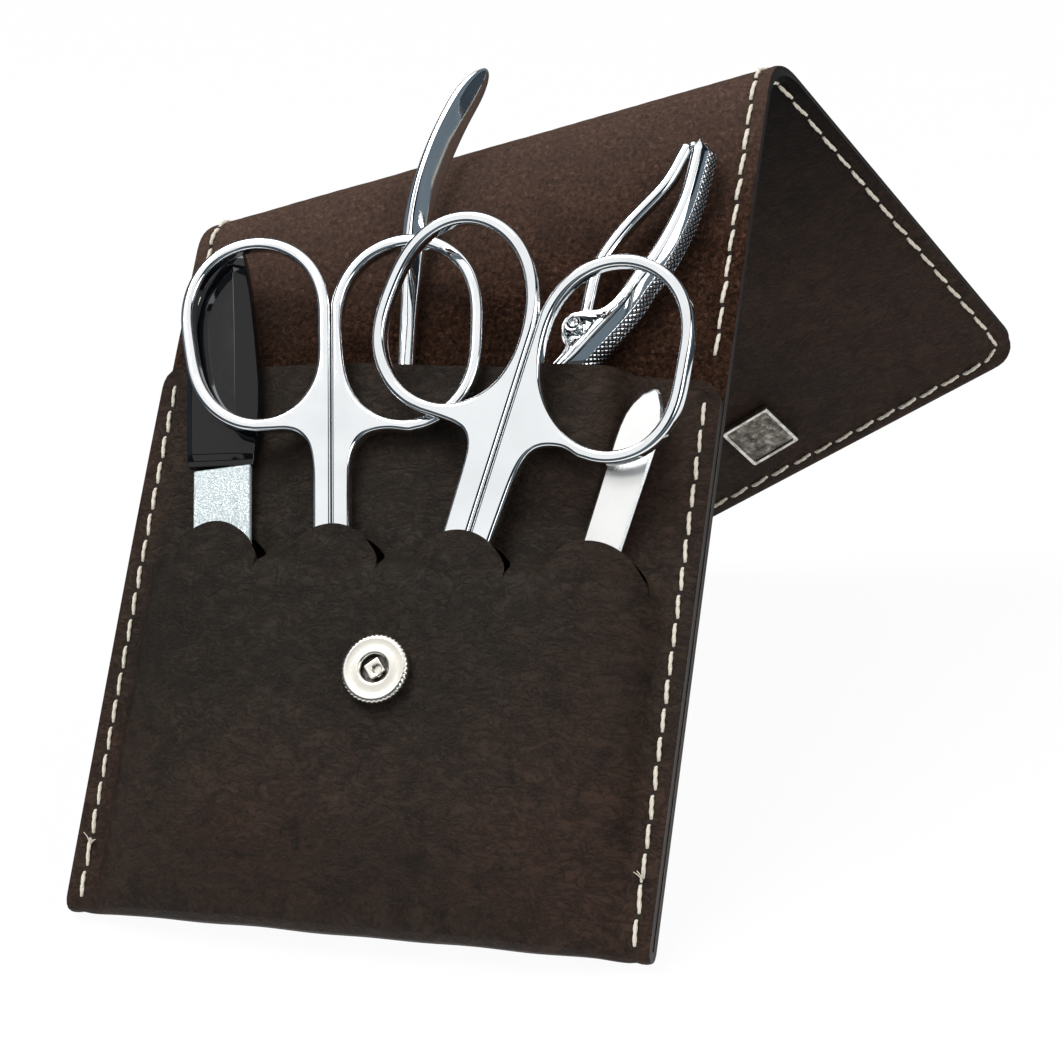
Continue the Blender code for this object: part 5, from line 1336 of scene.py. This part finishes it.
def build_nippers():
    frame = FRAMES["nipper"]
    grip_line = [(-4.2, -9.0), (-1.8, -5.6), (-0.35, -3.7), (0.95, -1.7), (2.6, 0.75), (4.3, 3.3), (5.9, 5.85), (7.5, 9.2), (9.7, 13.3), (11.45, 18.2), (12.65, 23.1), (13.1, 28.4), (13.25, 33.0)]

    def grip_section(share, at, whole):
        tip = min(1.0, math.sqrt(max(0.03, (whole - at) / 1.5)))
        slim = (1.0 + 0.25 * math.sin(math.pi * min(share * 1.3, 1.0))) * tip
        bulge = (1.7 + 0.5 * math.sin(math.pi * min(share * 1.2, 1.0)) + 1.2 * max(0.0, 1 - share / 0.45)) * tip
        deep = 2.3 * (0.75 + 0.25 * tip)
        half = 0.8 * slim
        return [
            (-half, -deep + 0.2), (-half, 0.0), (-half, deep - 0.25), (-half + 0.25, deep), (half - 0.3, deep), (half, deep - 0.2),
            (half + bulge * 0.35, deep * 0.62), (half + bulge * 0.68, deep * 0.28), (half + bulge * 0.9, -deep * 0.1),
            (half + bulge, -deep * 0.45), (half + bulge * 0.92, -deep * 0.75), (half + bulge * 0.6, -deep * 0.95), (half, -deep), (-half + 0.2, -deep),
        ]

    grip = channel("grip", grip_line, grip_section, 150)
    lobe = spline([(8.0, 9.2), (6.55, 8.2), (4.5, 5.1), (2.75, 3.6), (0.5, 3.3), (-1.35, 2.4), (-2.45, 0.8), (-2.3, -0.9), (-1.6, -2.4), (-1.85, -3.9), (-3.4, -6.4), (-4.6, -8.6), (-2.9, -8.8), (-1.12, -6.03), (0.4, -4.1), (1.7, -2.15), (3.1, 0.05), (5.2, 3.2), (6.9, 6.1)], parts=6)
    cover = plate("cover", [lobe, circle(0.98, 36, (-1.02, 1.1))[::-1]], 1.5, 2.56, 0.24, 4)
    jaw_line = [(-0.15, -7.2), (-2.7, -7.2), (-3.5, -10.5), (-3.0, -15.1), (-1.4, -18.9), (-0.5, -21.0), (-0.15, -21.0)]
    jaw = plate("jaw", [jaw_line], -2.28, 2.28, 0.25, 2)
    lap = plate("lap", [circle(3.0, 40, (-0.6, 0.6)), circle(1.6, 24, (-1.02, 1.1))], -2.28, -0.15, 0.2, 2)
    knob = lathe([(0.3, -0.85), (0.62, -0.62), (0.86, -0.2), (0.88, 0.15), (0.66, 0.56), (0.3, 0.8)], 20)
    knob.transform(Matrix.Translation(Vector((12.15, 32.1, 0.9)) * MM) @ Matrix.Rotation(math.pi / 2, 4, "Y"))
    main = join("nipper_hold", [grip], frame, 50)
    main.data.materials.append(knurled_steel())
    carry(main, "nippers", "satin_steel", "nipper_grip")
    rest = join("nipper_plate", [cover, jaw, lap, knob], frame)
    rest.data.materials.append(CHROME)
    even(rest)
    carry(rest, "nippers", "satin_steel")

    lever_line = [(0.1, 2.5), (0.15, 6.0), (0.35, 10.4), (1.5, 14.0), (4.2, 18.9), (8.1, 24.5), (9.5, 27.3), (10.5, 30.3), (11.35, 32.9)]

    def lever_section(share, at, whole):
        tip = min(1.0, math.sqrt(max(0.03, (whole - at) / 0.8)))
        a = np.linspace(0, 2 * math.pi, 20, endpoint=False)
        power = 2.5
        grow = (np.abs(np.cos(a)) ** power + np.abs(np.sin(a)) ** power) ** (-1 / power)
        return [(1.12 * tip * c, 1.3 * tip * z + 0.05) for c, z in zip(np.cos(a) * grow, np.sin(a) * grow)]

    bar = channel("bar", lever_line, lever_section, 120)
    jaw_line = [(0.15, -7.2), (0.15, -21.0), (0.5, -21.0), (1.4, -18.9), (3.0, -15.1), (3.5, -10.5), (2.9, -7.2)]
    jaw = plate("jaw", [jaw_line], -2.28, 1.3, 0.25, 2)
    lap = plate("lap", [circle(2.6, 40, (-0.6, 0.8)), circle(1.6, 24, (-1.02, 1.1))], 0.15, 1.36, 0.2, 2)
    lever = join("nipper_bar", [bar, jaw, lap], frame)
    lever.data.materials.append(CHROME)
    even(lever)
    carry(lever, "nippers_turning", "polished_steel", "nipper_lever")

    head = lathe([(0.3, 1.3), (0.78, 1.3), (0.82, 2.3), (0.76, 2.5), (0.6, 2.6), (0.46, 2.56), (0.36, 2.42), (0.2, 2.38)], 40)
    head.transform(Matrix.Translation(Vector((-1.02, 1.1, 0)) * MM))
    shaft = lathe([(0.3, -2.7), (2.2, -2.7), (2.35, -2.5), (1.5, -2.3), (1.4, 1.2), (0.3, 1.35)], 32)
    rivet = join("nipper_pin", [head, shaft], frame)
    rivet.data.materials.append(CHROME)
    carry(rivet, "nippers", "satin_steel", "nipper_rivet")


build_nippers()

CARRIED = {
    "file_blade": grit(), "nail_cleaner": SATIN, "nail_scissors_screw": SATIN,
    "cuticle_scissors_screw": SATIN,
    "stud_rivet": NICKEL, "flap_socket": NICKEL,
}
for node, mat in CARRIED.items():
    mesh = bpy.data.objects[node].data
    mesh.materials.clear()
    mesh.materials.append(mat)


# Stage, light and camera

def card_band(name, shade, spots, faces):
    """A staged card that only shiny surfaces see."""
    mat, tree, shader = new_material(name)
    tree.nodes.remove(shader)
    path = noise(tree, object_coords(tree), 0.002)
    glow = add(tree, "ShaderNodeEmission")
    tree.links.new(ramp(tree, path, [(0.3, tuple(c * 0.7 for c in shade)), (0.7, shade)]), glow.inputs["Color"])
    tree.links.new(glow.outputs["Emission"], tree.nodes["Material Output"].inputs["Surface"])
    mesh = bpy.data.meshes.new(name)
    mesh.from_pydata(spots, [], faces)
    mesh.materials.append(mat)
    card = bpy.data.objects.new(name, mesh)
    bpy.context.scene.collection.objects.link(card)
    card.visible_camera = card.visible_diffuse = card.visible_shadow = card.visible_transmission = False


def dark_cards():
    """Cards round and under the set, for the rims and walls of the bright tools."""
    count = 60
    ring = [(2 * k, 2 * k + 2, 2 * k + 3, 2 * k + 1) for k in range(count)]
    for name, shade, reach, start, end, low, high in (
        ("card_dark", (0.012, 0.016, 0.022), 1.6, -95, 200, 24, 47),
        ("card_front", (0.012, 0.016, 0.022), 1.6, 200, 265, 8, 24),
        ("card_grey", (0.16, 0.20, 0.235), 1.75, 0, 360, -2, 26),
    ):
        spots = []
        for k in range(count + 1):
            a = math.radians(start + (end - start) * k / count)
            for tilt in (low, high):
                spots.append((reach * math.cos(a), reach * math.sin(a), reach * math.tan(math.radians(tilt))))
        card_band(name, shade, spots, ring)
    spots = []
    for k in range(count + 1):
        a = 2 * math.pi * k / count
        spots += [(0.17 * math.cos(a), 0.17 * math.sin(a), 0.0004), (1.7 * math.cos(a), 1.7 * math.sin(a), 0.0004)]
    card_band("card_low", (0.05, 0.065, 0.08), spots, ring)


def stage_and_light():
    scene = bpy.context.scene
    mesh = bpy.data.meshes.new("floor")
    size = 3.0
    mesh.from_pydata([(-size, -size, 0), (size, -size, 0), (size, size, 0), (-size, size, 0)], [], [(0, 1, 2, 3)])
    floor = bpy.data.objects.new("floor", mesh)
    scene.collection.objects.link(floor)
    floor.location.z = cad_box[0].z - 0.0005
    mat, tree, shader = new_material("floor_white")
    shader.inputs["Base Color"].default_value = (0.86, 0.86, 0.86, 1.0)
    shader.inputs["Roughness"].default_value = 0.9
    path = add(tree, "ShaderNodeLightPath")
    glow = add(tree, "ShaderNodeEmission")
    glow.inputs["Color"].default_value = (1, 1, 1, 1)
    mixed = add(tree, "ShaderNodeMixShader")
    seen = math_node(tree, "MAXIMUM", path.outputs["Is Camera Ray"], math_node(tree, "MAXIMUM", path.outputs["Is Glossy Ray"], path.outputs["Is Transmission Ray"]))
    seen = math_node(tree, "MULTIPLY", seen, 0.95)
    tree.links.new(seen, mixed.inputs["Fac"])
    tree.links.new(shader.outputs["BSDF"], mixed.inputs[1])
    tree.links.new(glow.outputs["Emission"], mixed.inputs[2])
    tree.links.new(mixed.outputs["Shader"], tree.nodes["Material Output"].inputs["Surface"])
    mesh.materials.append(mat)

    dark_cards()
    world = bpy.data.worlds.new("studio")
    scene.world = world
    world.use_nodes = True
    tree = world.node_tree
    background = tree.nodes["Background"]
    path = add(tree, "ShaderNodeLightPath")
    seen = math_node(tree, "MAXIMUM", path.outputs["Is Camera Ray"], math_node(tree, "MAXIMUM", path.outputs["Is Glossy Ray"], path.outputs["Is Transmission Ray"]))
    full = mix(tree, seen, (0.42, 0.43, 0.45), (1.0, 1.0, 1.0))
    tree.links.new(full, background.inputs["Color"])

    def area(name, place, aim, size, power, color=(1, 1, 1)):
        light = bpy.data.lights.new(name, "AREA")
        light.shape = "RECTANGLE"
        light.size, light.size_y = size
        light.energy = power
        light.color = color
        obj = bpy.data.objects.new(name, light)
        scene.collection.objects.link(obj)
        obj.location = place
        obj.rotation_mode = "QUATERNION"
        obj.rotation_quaternion = (Vector(aim) - Vector(place)).to_track_quat("-Z", "Y")
        return obj

    area("key", (-0.45, -0.15, 1.35), (0, 0, 0.05), (0.8, 0.8), 16.0)
    area("side", (0.8, -0.45, 0.5), (0, 0, 0.05), (0.5, 0.5), 3.0)


def make_camera():
    turn = Vector((2.7964, 0.1356, -0.4355))
    view = Quaternion(turn.normalized(), turn.length).to_matrix()
    shift = Vector((-70.17, 57.8, 471.24))
    place = CASE_TURN @ (view.transposed() @ -shift * MM) + SHIFT
    right, down, ahead = (CASE_TURN @ Vector(view[i]) for i in range(3))
    data = bpy.data.cameras.new("camera")
    data.sensor_width = 36.0
    data.lens = 3098.9 / 1063 * 36.0
    data.clip_start, data.clip_end = 0.02, 20.0
    camera = bpy.data.objects.new("camera", data)
    bpy.context.scene.collection.objects.link(camera)
    basis = Matrix((right, -down, -ahead)).transposed().to_4x4()
    camera.matrix_world = Matrix.Translation(place) @ basis
    bpy.context.scene.camera = camera


stage_and_light()
make_camera()
bpy.context.scene.view_settings.view_transform = "Standard"
